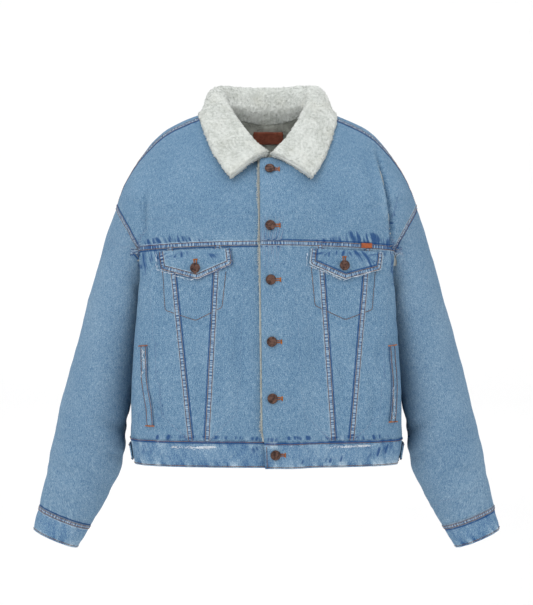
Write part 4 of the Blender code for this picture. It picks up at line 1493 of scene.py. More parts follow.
@dataclass(frozen=True)
class Denim:
    """Washed indigo twill, pale on its ridges and dark in its valleys, which is wear and painted shade, with
    its seams' own marks, among them painted highlights and shadows.
    """

    name: str
    body: str = "6889A4"
    dark: str = "375C80"
    deep: str = "1C4377"
    pale: str = "AABFD0"
    white: str = "DDE3E8"
    brown: str = "66504A"
    # How strongly the relief's wear and painted shade show in the colour.
    crumple: float = 0.22

    def build(self) -> bpy.types.Material:
        """Makes the material.

        Returns:
            The material.
        """
        f = Finish(self.name, 0.95, Specular_IOR_Level=0.12)
        across, along, pull, dye = (f.value(name) for name in ("across", "along", "pull", "dye"))
        gap = abs(across)
        slub = f.noise(f.place((560.0, 120.0, 1.0)), detail=2.0)
        mottle = f.noise(f.place((620.0, 430.0, 1.0), 0.7), detail=3.0, roughness=0.7)
        coarse = f.noise(f.place((190.0, 105.0, 1.0), -0.3), detail=2.0)
        cloudy = f.noise(f.place((13.0, 9.0, 1.0)), detail=2.0)
        fine = f.noise(f.place((1000.0, 800.0, 1.0), 0.8), detail=1.0)
        streak = f.noise(f.vector(along * 0.17 + across * 0.05, across * 0.03), detail=2.0)
        near = gap.over(24.0, 3.0)
        tone = slub * 0.24 + mottle * 0.66 + coarse * 0.16 + cloudy * 0.10 + fine * 0.36
        # The relief pales the ridges and darkens the troughs: partly wear, partly painted shade.
        tone = tone + pull * self.crumple + streak * near * 0.20
        worn = f.noise(f.vector(along * 0.17, across * 0.4), detail=2.0)
        colour = f.mix((0.5 + tone).over(-0.35, 0.62), colour_of(self.dark), colour_of(self.body))
        colour = f.mix((0.5 + tone).over(0.42, 1.6), colour, colour_of(self.pale))
        # The patches darken the colour toward deep blue: darker dye in some, painted shade in others.
        tint_and_shade_mask = dye.over(0.05, 0.45)
        dark_spots = (dye * 0.75 + (tone * 0.35 + streak * 0.95) * tint_and_shade_mask).over(0.25, 0.95)
        colour = f.mix(dark_spots * 0.85, colour, colour_of(self.deep))
        colour = f.mix((streak * -1.0).over(0.25, 0.8) * tint_and_shade_mask * near * 0.55, colour, colour_of(self.pale))
        pale_spots = (dye * -1.1 + (tone * 0.5 + worn * 0.6) * dye.over(-0.05, -0.4)).over(0.3, 0.9)
        colour = f.mix(pale_spots * 0.85, colour, colour_of(self.white))
        ladder = f.noise(f.vector(along * 0.36, across * 0.03), detail=1.0, roughness=0.4)
        inside = gap.over(2.9, 2.3)
        rung = f.mix((ladder * 0.95 + 0.48 - dye * 0.45).over(0.15, 0.8), colour_of(self.deep),
                     colour_of(self.pale))
        colour = f.mix(inside * 0.66, colour, rung)
        # A brown line under each row of stitches: thread colour between the stitches, and the threads'
        # painted shadow.
        line = gap.between(2.65, 3.55, 0.3)
        colour = f.mix(line * 0.75, colour, colour_of(self.brown))
        # A pale line on one side of each seam, a worn edge and a painted highlight; the other side gets a
        # painted shadow line.
        rim = (-1.0 * across).between(3.9, 5.6, 0.4) * (worn * 0.5 + 0.62).over(0.2, 0.8)
        colour = f.mix(rim * 0.62, colour, colour_of(self.pale))
        shadow = across.between(4.3, 6.6, 0.6) * (worn * -0.5 + 0.85).over(0.1, 0.7)
        colour = f.mix(shadow * 0.85, colour, colour_of(self.deep))
        f.set("Base Color", colour)
        f.bump(slub * 0.3 + mottle * 0.5 + fine * 0.4 + coarse * 0.5, 0.00035, 0.9)
        return f.material


@dataclass(frozen=True)
class Pile:
    """Curled off-white pile, with painted shade: greyer between its curls and at the roots of its tufts."""

    name: str
    tip: str = "D3D7D3"
    root: str = "A3A8A1"
    warm: str = "CFCFC4"

    def build(self) -> bpy.types.Material:
        """Makes the material.

        Returns:
            The material.
        """
        f = Finish(self.name, 0.95, Specular_IOR_Level=0.1, Sheen_Weight=0.35, Sheen_Roughness=0.5)
        lift = f.value("lift")
        where = f.space()
        curls = f.noise(where, 460.0, 3.0, 0.65)
        broad = f.noise(where, 30.0, 2.0)
        # By the pile's height: the root colour in the hollows and the tip colour on the tops, which is
        # painted shade.
        colour = f.mix((lift * 0.65 + curls * 0.22 + 0.42).over(0.0, 1.0), colour_of(self.root),
                       colour_of(self.tip))
        colour = f.mix((broad * 0.4 + 0.3).over(0.2, 0.9) * 0.35, colour, colour_of(self.warm))
        f.set("Base Color", colour)
        f.bump(curls * 0.6 + f.noise(where, 900.0, 2.0) * 0.3, 0.0006, 0.9)
        return f.material


@dataclass(frozen=True)
class Thread:
    """Sewing thread, darker and lighter in patches."""

    name: str
    light: str = "8E6A50"
    dark: str = "5E4234"

    def build(self) -> bpy.types.Material:
        """Makes the material.

        Returns:
            The material.
        """
        f = Finish(self.name, 0.75, Specular_IOR_Level=0.2)
        where = f.space()
        wander = f.noise(where, 90.0, 3.0)
        f.set("Base Color", f.mix((wander * 0.5 + 0.5).over(0.1, 0.9), colour_of(self.dark),
                                  colour_of(self.light)))
        f.bump(f.noise(where, 1600.0), 0.0002, 0.6)
        return f.material


@dataclass(frozen=True)
class Hide:
    """Split leather, darker and lighter in patches."""

    name: str
    body: str = "A4492A"
    dark: str = "6B2C1B"

    def build(self) -> bpy.types.Material:
        """Makes the material.

        Returns:
            The material.
        """
        f = Finish(self.name, 0.62, Specular_IOR_Level=0.35)
        where = f.space()
        grain, broad = f.noise(where, 900.0, 3.0), f.noise(where, 160.0, 2.0)
        rubbed = (grain * 0.25 + broad * 0.4 + 0.55).over(0.0, 0.9)
        f.set("Base Color", f.mix(rubbed, colour_of(self.dark), colour_of(self.body)))
        f.bump(grain * 0.6 + broad * 0.5, 0.0003, 0.8)
        return f.material


@dataclass(frozen=True)
class Metal:
    """Old copper, browner and darker in patches."""

    name: str
    body: str = "6B5046"
    dark: str = "2F2220"

    def build(self) -> bpy.types.Material:
        """Makes the material.

        Returns:
            The material.
        """
        f = Finish(self.name, 0.42, Metallic=0.75, Specular_IOR_Level=0.5)
        where = f.space()
        tarnish, grain = f.noise(where, 260.0, 3.0), f.noise(where, 1500.0, 2.0)
        f.set("Base Color", f.mix((tarnish * 0.5 + 0.5).over(0.1, 0.9), colour_of(self.dark),
                                  colour_of(self.body)))
        f.set("Roughness", tarnish * 0.15 + 0.45)
        f.bump(grain * 0.4 + tarnish * 0.4, 0.0002, 0.6)
        return f.material


# ---- the jacket ----------------------------------------------------------------------------------

SIDES = {"left": 1, "right": -1}
V_SEAMS = {("left", "inner"): (111.8, 88.7), ("left", "outer"): (142.6, 170.8),
           ("right", "inner"): (99.0, 81.1), ("right", "outer"): (127.0, 161.5)}


CREASES = [
    (((186, -48), (195, -95), (205, -150), (212, -205), (214, -262)), 3.6, 8.0),
    (((176, -60), (186, -100), (196, -150), (202, -215)), 7.5, -3.2),
    (((-204, -120), (-206, -170), (-205, -238)), 4.5, 2.6),
    (((-197, -120), (-198, -175), (-196, -232)), 6.0, -1.6),
    (((150, -130), (120, -175), (96, -215)), 15.0, 1.4),
    (((-165, -120), (-130, -170), (-100, -214)), 15.0, 1.2),
    (((-60, -150), (-75, -190), (-88, -222)), 10.0, 1.0),
    (((40, -300), (48, -380), (44, -470), (52, -545)), 10.0, 1.3),
    (((-36, -290), (-46, -370), (-40, -460), (-50, -548)), 10.0, 1.4),
    (((-60, -360), (-66, -430), (-62, -500)), 8.0, -1.1),
    (((22, -260), (30, -330), (26, -420)), 8.0, -0.9),
    (((185, -250), (178, -300), (182, -350)), 7.0, 2.0),
    (((-190, -245), (-178, -290), (-184, -350)), 7.0, 2.0),
    (((120, -380), (126, -450), (122, -545)), 9.0, 1.6),
    (((-118, -380), (-112, -450), (-116, -545)), 9.0, 1.6),
    (((-175, -430), (-186, -490), (-170, -550)), 7.0, 2.2),
    (((170, -430), (184, -490), (172, -550)), 7.0, 2.2),
    (((200, -380), (190, -420), (196, -460)), 7.0, 1.6),
    (((-30, -566), (-48, -580), (-70, -598)), 4.0, 1.6),
    (((-22, -566), (-36, -584), (-52, -600)), 3.0, -1.3),
    (((-150, -566), (-135, -582), (-140, -600)), 4.0, 1.5),
    (((-190, -568), (-200, -584), (-186, -600)), 4.0, 1.5),
    (((60, -566), (78, -580), (72, -600)), 4.0, 1.5),
    (((120, -568), (104, -582), (98, -600)), 4.0, 1.4),
    (((165, -566), (182, -582), (176, -600)), 4.0, 1.6),
    (((205, -568), (196, -584), (206, -600)), 4.0, 1.4),
]
# Patches in (x, z, wide, high, amount, turn). The long narrow ones beside the chest creases, the armholes,
# the welts and the sides by the sleeves are painted shade; the others darken the colour by the seams, on the
# flaps, down the placket and on the waistband, and those with negative amounts are pale worn lines.
TINT_AND_SHADE_PATCHES = [
    (165, -221, 44, 11, 0.95, -6), (205, -236, 16, 9, 0.6), (100, -226, 34, 6, 0.55),
    (-165, -223, 34, 8, 0.85, 6), (-190, -232, 14, 8, 0.5), (-110, -225, 34, 5, 0.5),
    (168, -258, 16, 12, 0.9, -25), (145, -245, 34, 5, 0.85), (-150, -246, 30, 6, 0.7),
    (-90, -250, 16, 6, 0.5), (95, -246, 20, 5, 0.8), (-178, -262, 10, 16, 0.6, 20),
    (-196, -246, 7, 14, 0.5), (215, -180, 2.5, 60, 0.7, -12), (15, -230, 14, 5, 0.5), (0, -330, 5, 10, 0.6),
    (2, -420, 4, 12, 0.5), (3, -500, 5, 14, 0.6), (-1, -270, 5, 12, 0.4), (-212, -262, 10, 26, 0.45),
    (214, -275, 6, 40, 0.7), (-205, -262, 6, 40, 0.4), (-150, -553, 44, 5, 0.75), (150, -553, 50, 5, 0.75),
    (60, -552, 44, 4, 0.6), (-60, -552, 44, 4, 0.6), (0, -556, 24, 4, 0.5), (-205, -575, 20, 12, 0.5),
    (205, -575, 24, 12, 0.5), (100, -590, 30, 6, 0.45), (-90, -594, 34, 6, 0.45),
    (-24, -576, 16, 7, 0.5, 40), (120, -582, 16, 6, 0.45, -30), (175, -586, 14, 6, 0.5, 25),
    (-170, -585, 18, 6, 0.5, -20), (60, -592, 18, 5, 0.4, 20), (-120, -569.5, 26, 1.8, -0.75),
    (-95, -568, 18, 1.6, -0.7), (135, -568, 28, 1.8, -0.8), (170, -567, 14, 1.8, -0.7),
    (-190, -520, 20, 24, 0.3), (-185, -400, 14, 24, 0.3), (205, -520, 16, 24, 0.3),
    (186, -420, 10, 26, 0.3), (-215, -480, 5, 60, 0.55), (226, -460, 5, 70, 0.6),
    (-180, -470, 4, 46, 0.5, 8), (200, -455, 4, 46, 0.5, -3),
]
WELTS = {"right": [(-194.5, -534.5), (-196.5, -505.0), (-204.5, -460.0), (-206.2, -399.5)],
         "left": [(212.0, -528.5), (215.0, -498.0), (216.0, -465.0), (211.0, -399.0)]}
FRAYS = [
    ((-158, -569.5), (-88, -568.5), 2.4, 90), ((104, -568.0), (176, -567.5), 2.2, 80),
    ((-207, -405.0), (-204, -438.0), 2.0, 42), ((-204, -438.0), (-209, -452.0), 1.2, 16),
    ((-206, -410), (-203, -432), 3.6, 14), ((212.5, -470.0), (214.5, -520.0), 1.8, 46),
    ((209.5, -512.0), (213.5, -524.0), 2.0, 16),
]


def column(cloth: Cloth, x: Grid, v: Grid) -> Grid:
    """The u at which a surface's own x is `x` on the row v.

    Args:
        cloth: The surface.
        x: The x wanted.
        v: The rows.

    Returns:
        The places u.
    """
    x, v = np.broadcast_arrays(np.asarray(x, float), np.asarray(v, float))
    low, high = np.full(x.shape, -0.35), np.full(x.shape, 1.0)
    for _ in range(26):
        middle = (low + high) / 2
        less = cloth.at(middle, v)[..., 0] < x
        low, high = np.where(less, middle, low), np.where(less, high, middle)
    return (low + high) / 2


def free_edge(cloth: Cloth, v: Grid, extra: Grid | float = 0.0) -> Grid:
    """The u of a front's free edge.

    Args:
        cloth: The front's surface.
        v: The rows.
        extra: How far past the edge, in millimetres.

    Returns:
        The places u.
    """
    u = 0 * np.asarray(v, float)
    for _ in range(4):
        u = column(cloth, -LAP - extra + cloth.side * button_line(cloth.at(u, v)[..., 2]), v)
    return u


def slanted(cloth: Cloth, pair: tuple[float, float], v: Grid) -> Grid:
    """The u of a seam that runs down the body, whose x is given at the waist and at the yoke.

    Args:
        cloth: The surface.
        pair: The x at the waist and at the yoke.
        v: The rows.

    Returns:
        The places u.
    """
    u = column(cloth, between(pair, v), v)
    z = cloth.at(u, v)[..., 2]
    return column(cloth, between(pair, (z - WAIST_Z) / (YOKE_Z - WAIST_Z)), v)


def inset(cloth: Cloth, u: Grid, v: Grid, du: float, dv: float, distance: float) -> tuple[Grid, Grid]:
    """Places moved by a distance in millimetres along a direction of places."""
    pace = np.linalg.norm(cloth.at(u + du * 0.02, v + dv * 0.02) - cloth.at(u, v), axis=-1) / 0.02
    return u + du * distance / pace, v + dv * distance / pace


class Jacket:
    """What all sub-assemblies share: the relief, the sewing and the finishes."""

    def __init__(self) -> None:
        """Makes the finishes and the seams."""
        self.denim = Denim("washed_denim").build()
        self.arm_denim = Denim("worn_denim", body="6F8DA6", dark="406487", pale="ABBFCF").build()
        self.band_denim = Denim("crumpled_denim", body="6A8BA7", dark="2C5585", pale="B4C7D6",
                                crumple=0.62).build()
        self.pile = Pile("sherpa").build()
        # A darker copy of the pile for the linings and the tufts in the neck: painted shade inside the
        # jacket.
        self.shaded_pile = Pile("sherpa_inside", tip="BDC0B8", root="8C8F86", warm="B8B9AD").build()
        self.thread = Thread("brown_thread").build()
        self.tack_thread = Thread("orange_thread", light="CC7B22", dark="9A5412").build()
        self.fray = Thread("white_thread", light="EDF1F5", dark="C3D3E4").build()
        self.label = Hide("neck_label_hide", "9C5640", "743A2B").build()
        self.tab = Hide("tab_hide", "A2552F", "7A3C24").build()
        self.copper = Metal("aged_copper").build()
        self.relief = Relief()
        self.sewing = Sewing(self.relief)
        self.lay_seams()
        self.mark()

    def seam(self, name: str, *lines: tuple[Cloth, Grid, Grid], **facts: object) -> Seam:
        """Adds a seam through places on one or more surfaces.

        Args:
            name: Its name.
            lines: A surface and places on it, for each stretch.
            facts: What else the seam is given.

        Returns:
            The seam.
        """
        points = np.concatenate([cloth.leaf(u, v, 0.0) for cloth, u, v in lines])
        normals = np.concatenate([cloth.outward(u, v) for cloth, u, v in lines])
        made = Seam(name, points, normals, **facts)
        self.relief.seams.append(made)
        return made

    def lay_seams(self) -> None:
        """Lays every seam between the panels."""
        for name, side in SIDES.items():
            front, rear, high, low = torso(side), torso(side, True), yoke(side), band(side)
            down = np.linspace(0.0, 1.0, 80)
            for which in ("inner", "outer"):
                turn = -1 if (which == "inner") == (side > 0) else 1
                u = slanted(front, V_SEAMS[name, which], down)
                self.seam(f"{which}_{name}", (front, u[::turn], down[::turn]), pucker=0.75)
            self.seam(f"back_{name}", (rear, slanted(rear, BACK_SEAM, down), down), pucker=0.7,
                      group=Group.BACK)
            start = float(free_edge(front, np.array([1.0]))[0])
            across = np.linspace(start + 0.004, 0.985, 90)
            self.seam(f"yoke_{name}", (front, across, 0 * across + 0.9995), pucker=1.15, reach=17.0)
            t = np.linspace(ARM_TOP + 0.01, 1.0, 70)
            s, _ = inset(high, 0 * t + 1.0, t, -1.0, 0.0, 5.6)
            s -= (s - inset(high, 0 * t + 1.0, t, -1.0, 0.0, 13.5)[0]) * smooth((t - ARM_TOP) / 0.12)
            self.seam(f"shoulder_{name}", (high, s[::side], t[::side]), pucker=0.6)
            t = np.linspace(ARM_TOP, 0.0, 50)
            s, _ = inset(high, 0 * t + 1.0, t, -1.0, 0.0, 5.0)
            u = np.linspace(1.0, 2.0, 60)
            _, v = inset(front, u, 0 * u + 1.0, 0.0, -1.0, 5.0)
            half = u <= 1.5
            back_high = yoke(side, True)
            s_back, _ = inset(back_high, 0 * t + 1.0, t, -1.0, 0.0, 5.0)
            self.seam(f"armhole_{name}", (high, s, t), (front, u[half], v[half]),
                      (rear, 3 - u[~half], v[~half]), (back_high, s_back[::-1], t[::-1]),
                      pucker=1.05, reach=16.0, group=Group.ARM)
            side_down = np.linspace(0.0, 0.975, 60)
            self.seam(f"side_{name}", (front, 0 * side_down + SIDE_U, side_down), pucker=0.5, half=3.6,
                      rows=(-2.0, 2.0), group=Group.BACK)
            run = np.linspace(0.012, 0.992, 150)
            self.seam(f"sleeve_back_{name}", (sleeve(side), 0 * run + 273.5, run), pucker=0.6,
                      group=Group.ARM)
            self.seam(f"underarm_{name}", (sleeve(side), 0 * run + 180.0, run), pucker=0.7, strip=False,
                      rows=(), group=Group.ARM)
            deg = np.linspace(180.0, 540.0, 160)
            self.seam(f"cuff_{name}", (sleeve(side), deg, 0 * deg + 1.0065), pucker=1.5, half=4.0,
                      rows=(-1.7, 1.7), group=Group.ARM)
            self.seam(f"cuff_hem_{name}", (sleeve(side), deg, 0 * deg + 1.0745), pucker=1.9, strip=False,
                      rows=(0.0,), group=Group.ARM)
            if side > 0:
                up = np.linspace(0.07, 0.9, 30)
                self.seam("band_end", (low, free_edge(low, up, -3.4), up), pucker=0.6, strip=False,
                          rows=(0.0,), group=Group.BAND)
            start = float(free_edge(low, np.array([0.94]))[0]) + 0.006
            around = np.linspace(start, SIDE_U, 110)
            behind = np.linspace(SIDE_U, 0.0, 90)
            waist = {"pucker": 1.9, "half": 2.3, "rows": (-1.2,), "reach": 18.0, "turned": True}
            hem = {"pucker": 1.7, "strip": False, "rows": (0.0,), "reach": 15.0}
            for which, at, facts in (("waist", 0.94, waist), ("hem", 0.055, hem)):
                self.seam(f"{which}_{name}", (low, around, 0 * around + at),
                          (band(side, True), behind, 0 * behind + at), group=Group.BAND, **facts)
        across = np.linspace(-0.985, 0.985, 180)
        self.seam("yoke_back", (torso(1, True), across, 0 * across + 0.9995), pucker=0.9, group=Group.BACK)

    def mark(self) -> None:
        """Sets the creases and the patches of darker dye and painted shade."""
        self.relief.creases += [Crease(points, width, depth) for points, width, depth in CREASES]
        self.relief.creases += [Crease(tuple((-x, z) for x, z in points), width, depth, True)
                                for points, width, depth in CREASES]
        self.relief.tint_and_shade_patches += [TintAndShadePatch(*row) for row in TINT_AND_SHADE_PATCHES]

    def sew(self) -> None:
        """Lays the strips and sews the rows of every seam."""
        for seam in self.relief.seams:
            if seam.strip:
                self.sewing.strip(seam, self.band_denim if seam.group is Group.BAND else self.denim)
            for across in seam.rows:
                self.sewing.row(seam, across, 0.8 if seam.strip else 0.25)

    def lay(self, name: str, cloth: Cloth, u: Grid, v: Grid, finish: bpy.types.Material,
            **facts: object) -> bpy.types.Object:
        """Makes a panel over a grid of places, in place of its solid.

        Args:
            name: The solid's name.
            cloth: The surface.
            u: Places across.
            v: Places up.
            finish: The material.
            facts: What else the panel is given.

        Returns:
            The panel.
        """
        u, v = np.broadcast_arrays(u, v)
        obj = panel(f"{name}_cloth", cloth.leaf(u, v, 0.0), cloth.outward(u, v), self.relief, finish, **facts)
        return self.own(obj, name)

    def own(self, obj: bpy.types.Object, *nodes: str, slot: str = "denim") -> bpy.types.Object:
        """Makes a piece stand for nodes and ride with the jacket.

        Args:
            obj: The piece.
            slot: Its slot. Not used.
            nodes: The nodes it stands for.

        Returns:
            The piece.
        """
        if nodes:
            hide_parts(*nodes)
        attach(obj, "root")
        faces = obj.data.polygons
        LOG.info("%s: %d faces, %.4f m2", obj.name, len(faces), sum(face.area for face in faces))
        return obj

    def gather(self) -> None:
        """Joins the strips of each group and makes the threads."""
        for group, parts in self.sewing.parts.items():
            bm = bmesh.new()
            for part in parts:
                bm.from_mesh(part.data)
            joined = bpy.data.meshes.new(f"seams_{group.value}")
            bm.to_mesh(joined)
            bm.free()
            joined.shade_smooth()
            finishes = {Group.BAND: self.band_denim, Group.ARM: self.arm_denim}
            joined.materials.append(finishes.get(group, self.denim))
            for part in parts:
                bpy.data.objects.remove(part)
            obj = bpy.data.objects.new(f"seams_{group.value}", joined)
            bpy.context.scene.collection.objects.link(obj)
            self.own(obj)
        for group, threads in self.sewing.threads.items():
            finish = {Group.TACKS: self.tack_thread, Group.FRAYS: self.fray}.get(group, self.thread)
            self.own(threads.build(finish))

    def curls(self, name: str, points: Grid, normals: Grid, count: int, seed: int, size: float = 1.0,
              finish: bpy.types.Material | None = None) -> bpy.types.Object:
        """Short bent tufts that stand out of a pile.

        Args:
            name: The piece's name.
            points: Points on the pile.
            normals: The directions out of it.
            count: How many tufts.
            seed: What the random choice starts from.
            size: Their size.
            finish: Their material, where it isn't the collar's.

        Returns:
            The piece.
        """
        chance = np.random.default_rng(seed)
        pick = chance.integers(0, len(points), count)
        out = unit(normals[pick] + 0.5 * unit(chance.normal(size=(count, 3))))
        side = unit(np.cross(out, chance.normal(size=(count, 3))))
        other = np.cross(out, side)
        form, faces = rod(3)
        share = form[:, 2] / 2
        long = size * chance.uniform(2.2, 3.6, count)[:, None]
        bend = chance.uniform(0.7, 1.5, count)[:, None]
        angle = share[None] * bend * 2.0
        up, over = long * np.sin(angle) / (bend * 2.0), long * (1 - np.cos(angle)) / (bend * 2.0)
        taper = np.interp(share, [0, 0.3, 0.8, 1], [0.75, 0.7, 0.55, 0.2])
        radius = size * taper[None] * chance.uniform(0.8, 1.2, count)[:, None]
        ahead = np.cos(angle)[..., None] * side[:, None] - np.sin(angle)[..., None] * out[:, None]
        places = (points[pick][:, None] + out[:, None] * (up - 0.6)[..., None]
                  + side[:, None] * over[..., None] + ahead * (form[:, 0][None] * radius)[..., None]
                  + other[:, None] * (form[:, 1][None] * radius)[..., None])
        obj = many(name, places, faces, finish or self.pile)
        # Darker at each tuft's root: painted shade.
        lift = np.broadcast_to(0.35 + 0.5 * share[None], places.shape[:2])
        write_values(obj.data, "lift", lift)
        return obj


@dataclass
class Body:
    """The fronts, the back and the yokes."""

    jacket: Jacket
    height: float = 330.0
    yoke_height: float = 190.0
    back_yoke_height: float = 230.0
    fine: float = 2.3
    coarse: float = 3.2
    back_fine: float = 3.4
    back_coarse: float = 5.0

    def build(self) -> None:
        """Builds every panel of the body."""
        rows = graded(self.height, self.fine, self.coarse)[:, None]
        back_rows = graded(self.height, self.back_fine, self.back_coarse)[:, None]
        up = graded(self.yoke_height, self.fine, self.back_fine)[:, None]
        for name, side in SIDES.items():
            front, rear, high = torso(side), torso(side, True), yoke(side)
            edge = free_edge(front, rows[:, 0])
            inner, outer = (slanted(front, V_SEAMS[name, which], rows[:, 0]) for which in ("inner", "outer"))
            self.panel(f"front_center_{name}", front, edge, inner, rows, 112.0, (0.116, 0.330))
            self.panel(f"front_mid_{name}", front, inner, outer, rows, 70.0, (0.058, 0.330))
            self.panel(f"front_side_{name}", front, outer, 0 * outer + SIDE_U, rows, 120.0, (0.176, 0.330))
            behind = slanted(rear, BACK_SEAM, back_rows[:, 0])
            self.panel(f"back_side_{name}", rear, behind, 0 * behind + SIDE_U, back_rows, 170.0,
                       (0.194, 0.330), 5.0)
            edge = free_edge(high, up[:, 0])
            self.panel(f"front_yoke_{name}", high, edge, 0 * edge + 1.0, up, 230.0, (0.272, 0.240))
        behind = slanted(rear, BACK_SEAM, back_rows[:, 0])
        self.panel("back_center", torso(1, True), -behind, behind, back_rows, 250.0, (0.250, 0.330), 5.0)
        up = graded(self.back_yoke_height, self.back_fine, self.back_coarse)[:, None]
        edge = 0 * up[:, 0] + 1.0
        self.panel("back_yoke", yoke(1, True), -edge, edge, up, 440.0, (0.56, 0.26), 5.0)

    def panel(self, name: str, cloth: Cloth, start: Grid, end: Grid, rows: Grid, width: float, flat: Spot,
              step: float = 3.0) -> None:
        """Lays one panel between two of its edges.

        Args:
            name: Its name.
            cloth: Its surface.
            start: Where each row starts.
            end: Where each row ends.
            rows: The rows' places.
            width: How wide it is, which sets its columns.
            flat: The size of its cut in metres. Not used.
            step: The usual distance between columns.
        """
        share = graded(width, step * 0.75, step)[None]
        u = start[:, None] + (end - start)[:, None] * share
        obj = self.jacket.lay(name, cloth, u, rows, self.jacket.denim)


@dataclass
class Sleeves:
    """The two-piece sleeves and their cuffs."""

    jacket: Jacket
    length: float = 600.0
    cuff_length: float = 42.0
    cuff_wall: float = 3.0
    upper: tuple[float, float] = (-86.5, 180.0)
    under: tuple[float, float] = (180.0, 273.5)
    steps: tuple[float, float] = (3.4, 4.9)

    def build(self) -> None:
        """Builds both sleeves."""
        jacket = self.jacket
        rows = graded(self.length, *self.steps)[:, None]
        for name, side in SIDES.items():
            cloth = sleeve(side)
            upper = np.linspace(*self.upper, 92)[None]
            obj = jacket.lay(f"sleeve_{name}", cloth, upper, rows, jacket.arm_denim)
            under = np.linspace(*self.under, 34)[None]
            obj = jacket.lay(f"under_sleeve_{name}", cloth, under, rows, jacket.arm_denim)
            around = np.linspace(0.0, 360.0, 120)[None]
            down = between((1.0, CUFF_END), graded(self.cuff_length, 1.6, 2.4))[:, None]
            obj = jacket.lay(f"cuff_{name}", cloth, around, down, jacket.band_denim,
                             slack=1.2, wall=self.cuff_wall, closed=True)


@dataclass
class Waistband:
    """The waistband's two halves."""

    jacket: Jacket
    height: float = 45.0
    wall: float = 3.0
    flat: tuple[float, float] = (0.47, 0.048)

    def build(self) -> None:
        """Builds both halves."""
        jacket = self.jacket
        rows = graded(self.height, 1.6, 2.3)[:, None]
        for name, side in SIDES.items():
            front, rear = band(side), band(side, True)
            edge = free_edge(front, rows[:, 0])
            u = edge[:, None] + (SIDE_U - edge)[:, None] * np.linspace(0, 1, 110)[None]
            behind = np.linspace(SIDE_U, 0.0, 70)[None, 1:] + 0 * rows
            flat = np.concatenate([front.leaf(u, rows, 0.0), rear.leaf(behind, rows, 0.0)], axis=1)
            out = np.concatenate([front.outward(u, rows + 0 * u), rear.outward(behind, rows + 0 * behind)],
                                 axis=1)
            obj = panel(f"waistband_{name}_cloth", flat, out, jacket.relief, jacket.band_denim, slack=1.1,
                        wall=self.wall)
            jacket.own(obj, f"waistband_{name}")


EDGE_PILE = [(-560, 0.5), (-535, 1.0), (-500, 0.1), (-330, -0.4), (-300, -0.2), (-255, 0.9), (-225, 0.5),
             (-180, -0.2), (-150, 0.9), (-110, 0.4)]


@dataclass
class Lining:
    """The pile behind the fronts and the back."""

    jacket: Jacket
    depth: float = DENIM + LINING_GAP + SHERPA
    clump: float = 6.5
    columns: tuple[int, int] = (60, 110)
    neck_count: int = 2400
    edge_count: int = 1500

    def build(self) -> None:
        """Builds the three linings and the tufts that show at the neck and the free edge."""
        jacket = self.jacket
        rows, up = graded(330.0, 5.0, 6.0)[:, None], graded(190.0, 5.0, 5.0)[1:, None]
        clumps = Noise(21, self.clump)
        for name, side in {**SIDES, "back": 0}.items():
            low, high = torso(side or 1, not side), yoke(side or 1, not side)
            if side:
                start, high_start = (free_edge(cloth, at[:, 0], 3.0 if side > 0 else 0.0)
                                     for cloth, at in ((low, rows), (high, up)))
            else:
                start, high_start = 0 * rows[:, 0] - SIDE_U, 0 * up[:, 0] - 1.0
            share = np.linspace(0, 1, self.columns[0 if side else 1])[None]
            u = start[:, None] + (SIDE_U - start)[:, None] * share
            v = rows * np.where(np.abs(u) > 0.98, 0.965, 1.0)
            flat, out = low.leaf(u, v, -self.depth), low.outward(u, v)
            keep = np.abs(u[-1]) <= 1.0
            top = high_start[:, None] + (1.0 - high_start)[:, None] * np.linspace(0, 1, keep.sum())[None]
            obj = self.sheet(f"lining_{name}_pile", flat, out, clumps)
            upper = self.sheet(f"lining_{name}_yoke_pile", high.leaf(top, up + 0 * top, -self.depth),
                               high.outward(top, up + 0 * top), clumps)
            jacket.own(obj, f"lining_{name}", slot="sherpa")
            jacket.own(upper, slot="sherpa")
        chance = np.random.default_rng(61)
        self.neck_curls(chance)
        self.edge_curls(chance)

    def neck_curls(self, chance: np.random.Generator) -> None:
        """Scatters tufts over the back yoke's lining, by the neck.

        Args:
            chance: Where the random numbers come from.
        """
        neck = yoke(1, True)
        s, t = chance.uniform(-0.6, 0.6, 9000), chance.uniform(0.62, 1.0, 9000)
        out = -neck.outward(s, t)
        points = neck.leaf(s, t, -self.depth - 0.6)
        curls = self.jacket.curls("neck_curls", points, out, self.neck_count, 62, 1.0, self.jacket.shaded_pile)
        self.jacket.own(curls, slot="sherpa")

    def edge_curls(self, chance: np.random.Generator) -> None:
        """Lets tufts show past the free edge of the left front, in uneven lengths.

        Args:
            chance: Where the random numbers come from.
        """
        places = []
        for cloth, low_end, high_end in ((torso(1), 0.02, 1.0), (yoke(1), 0.0, 0.90)):
            v = chance.uniform(low_end, high_end, 1300)
            z = cloth.at(0 * v, v)[..., 2]
            wide = 3.0 + 2.6 * np.interp(z, *zip(*EDGE_PILE))
            u = free_edge(cloth, v, wide * chance.uniform(0.0, 1.0, len(v)))
            lift = 2.0 + chance.uniform(0, 3.0, len(v))
            places.append((cloth.leaf(u, v, lift - self.depth), cloth.outward(u, v)))
        points, out = (np.concatenate(part) for part in zip(*places))
        curls = self.jacket.curls("edge_curls", points, unit(out + [-1.0, 0, 0]), self.edge_count, 63, 0.75)
        self.jacket.own(curls, slot="sherpa")

    def sheet(self, name: str, flat: Grid, out: Grid, clumps: Noise) -> bpy.types.Object:
        """One lining with its pile inward.

        Args:
            name: Its name.
            flat: Rows and columns of points.
            out: The directions out of the jacket.
            clumps: The noise that clumps the pile.

        Returns:
            The lining.
        """
        puff = 1.4 * np.abs(clumps(flat)) + 0.8 * np.abs(clumps(flat * 2.1 + 30))
        sunk = self.jacket.relief.folds(flat.reshape(-1, 3)).reshape(puff.shape).clip(None, 0.0)
        # The pile's height, which the finish turns into painted shade in its hollows.
        obj = grid_object(name, flat - out * (puff - sunk)[..., None], -out, flat, {"lift": puff / 1.2})
        thicken(obj, SHERPA, self.jacket.shaded_pile)
        return obj


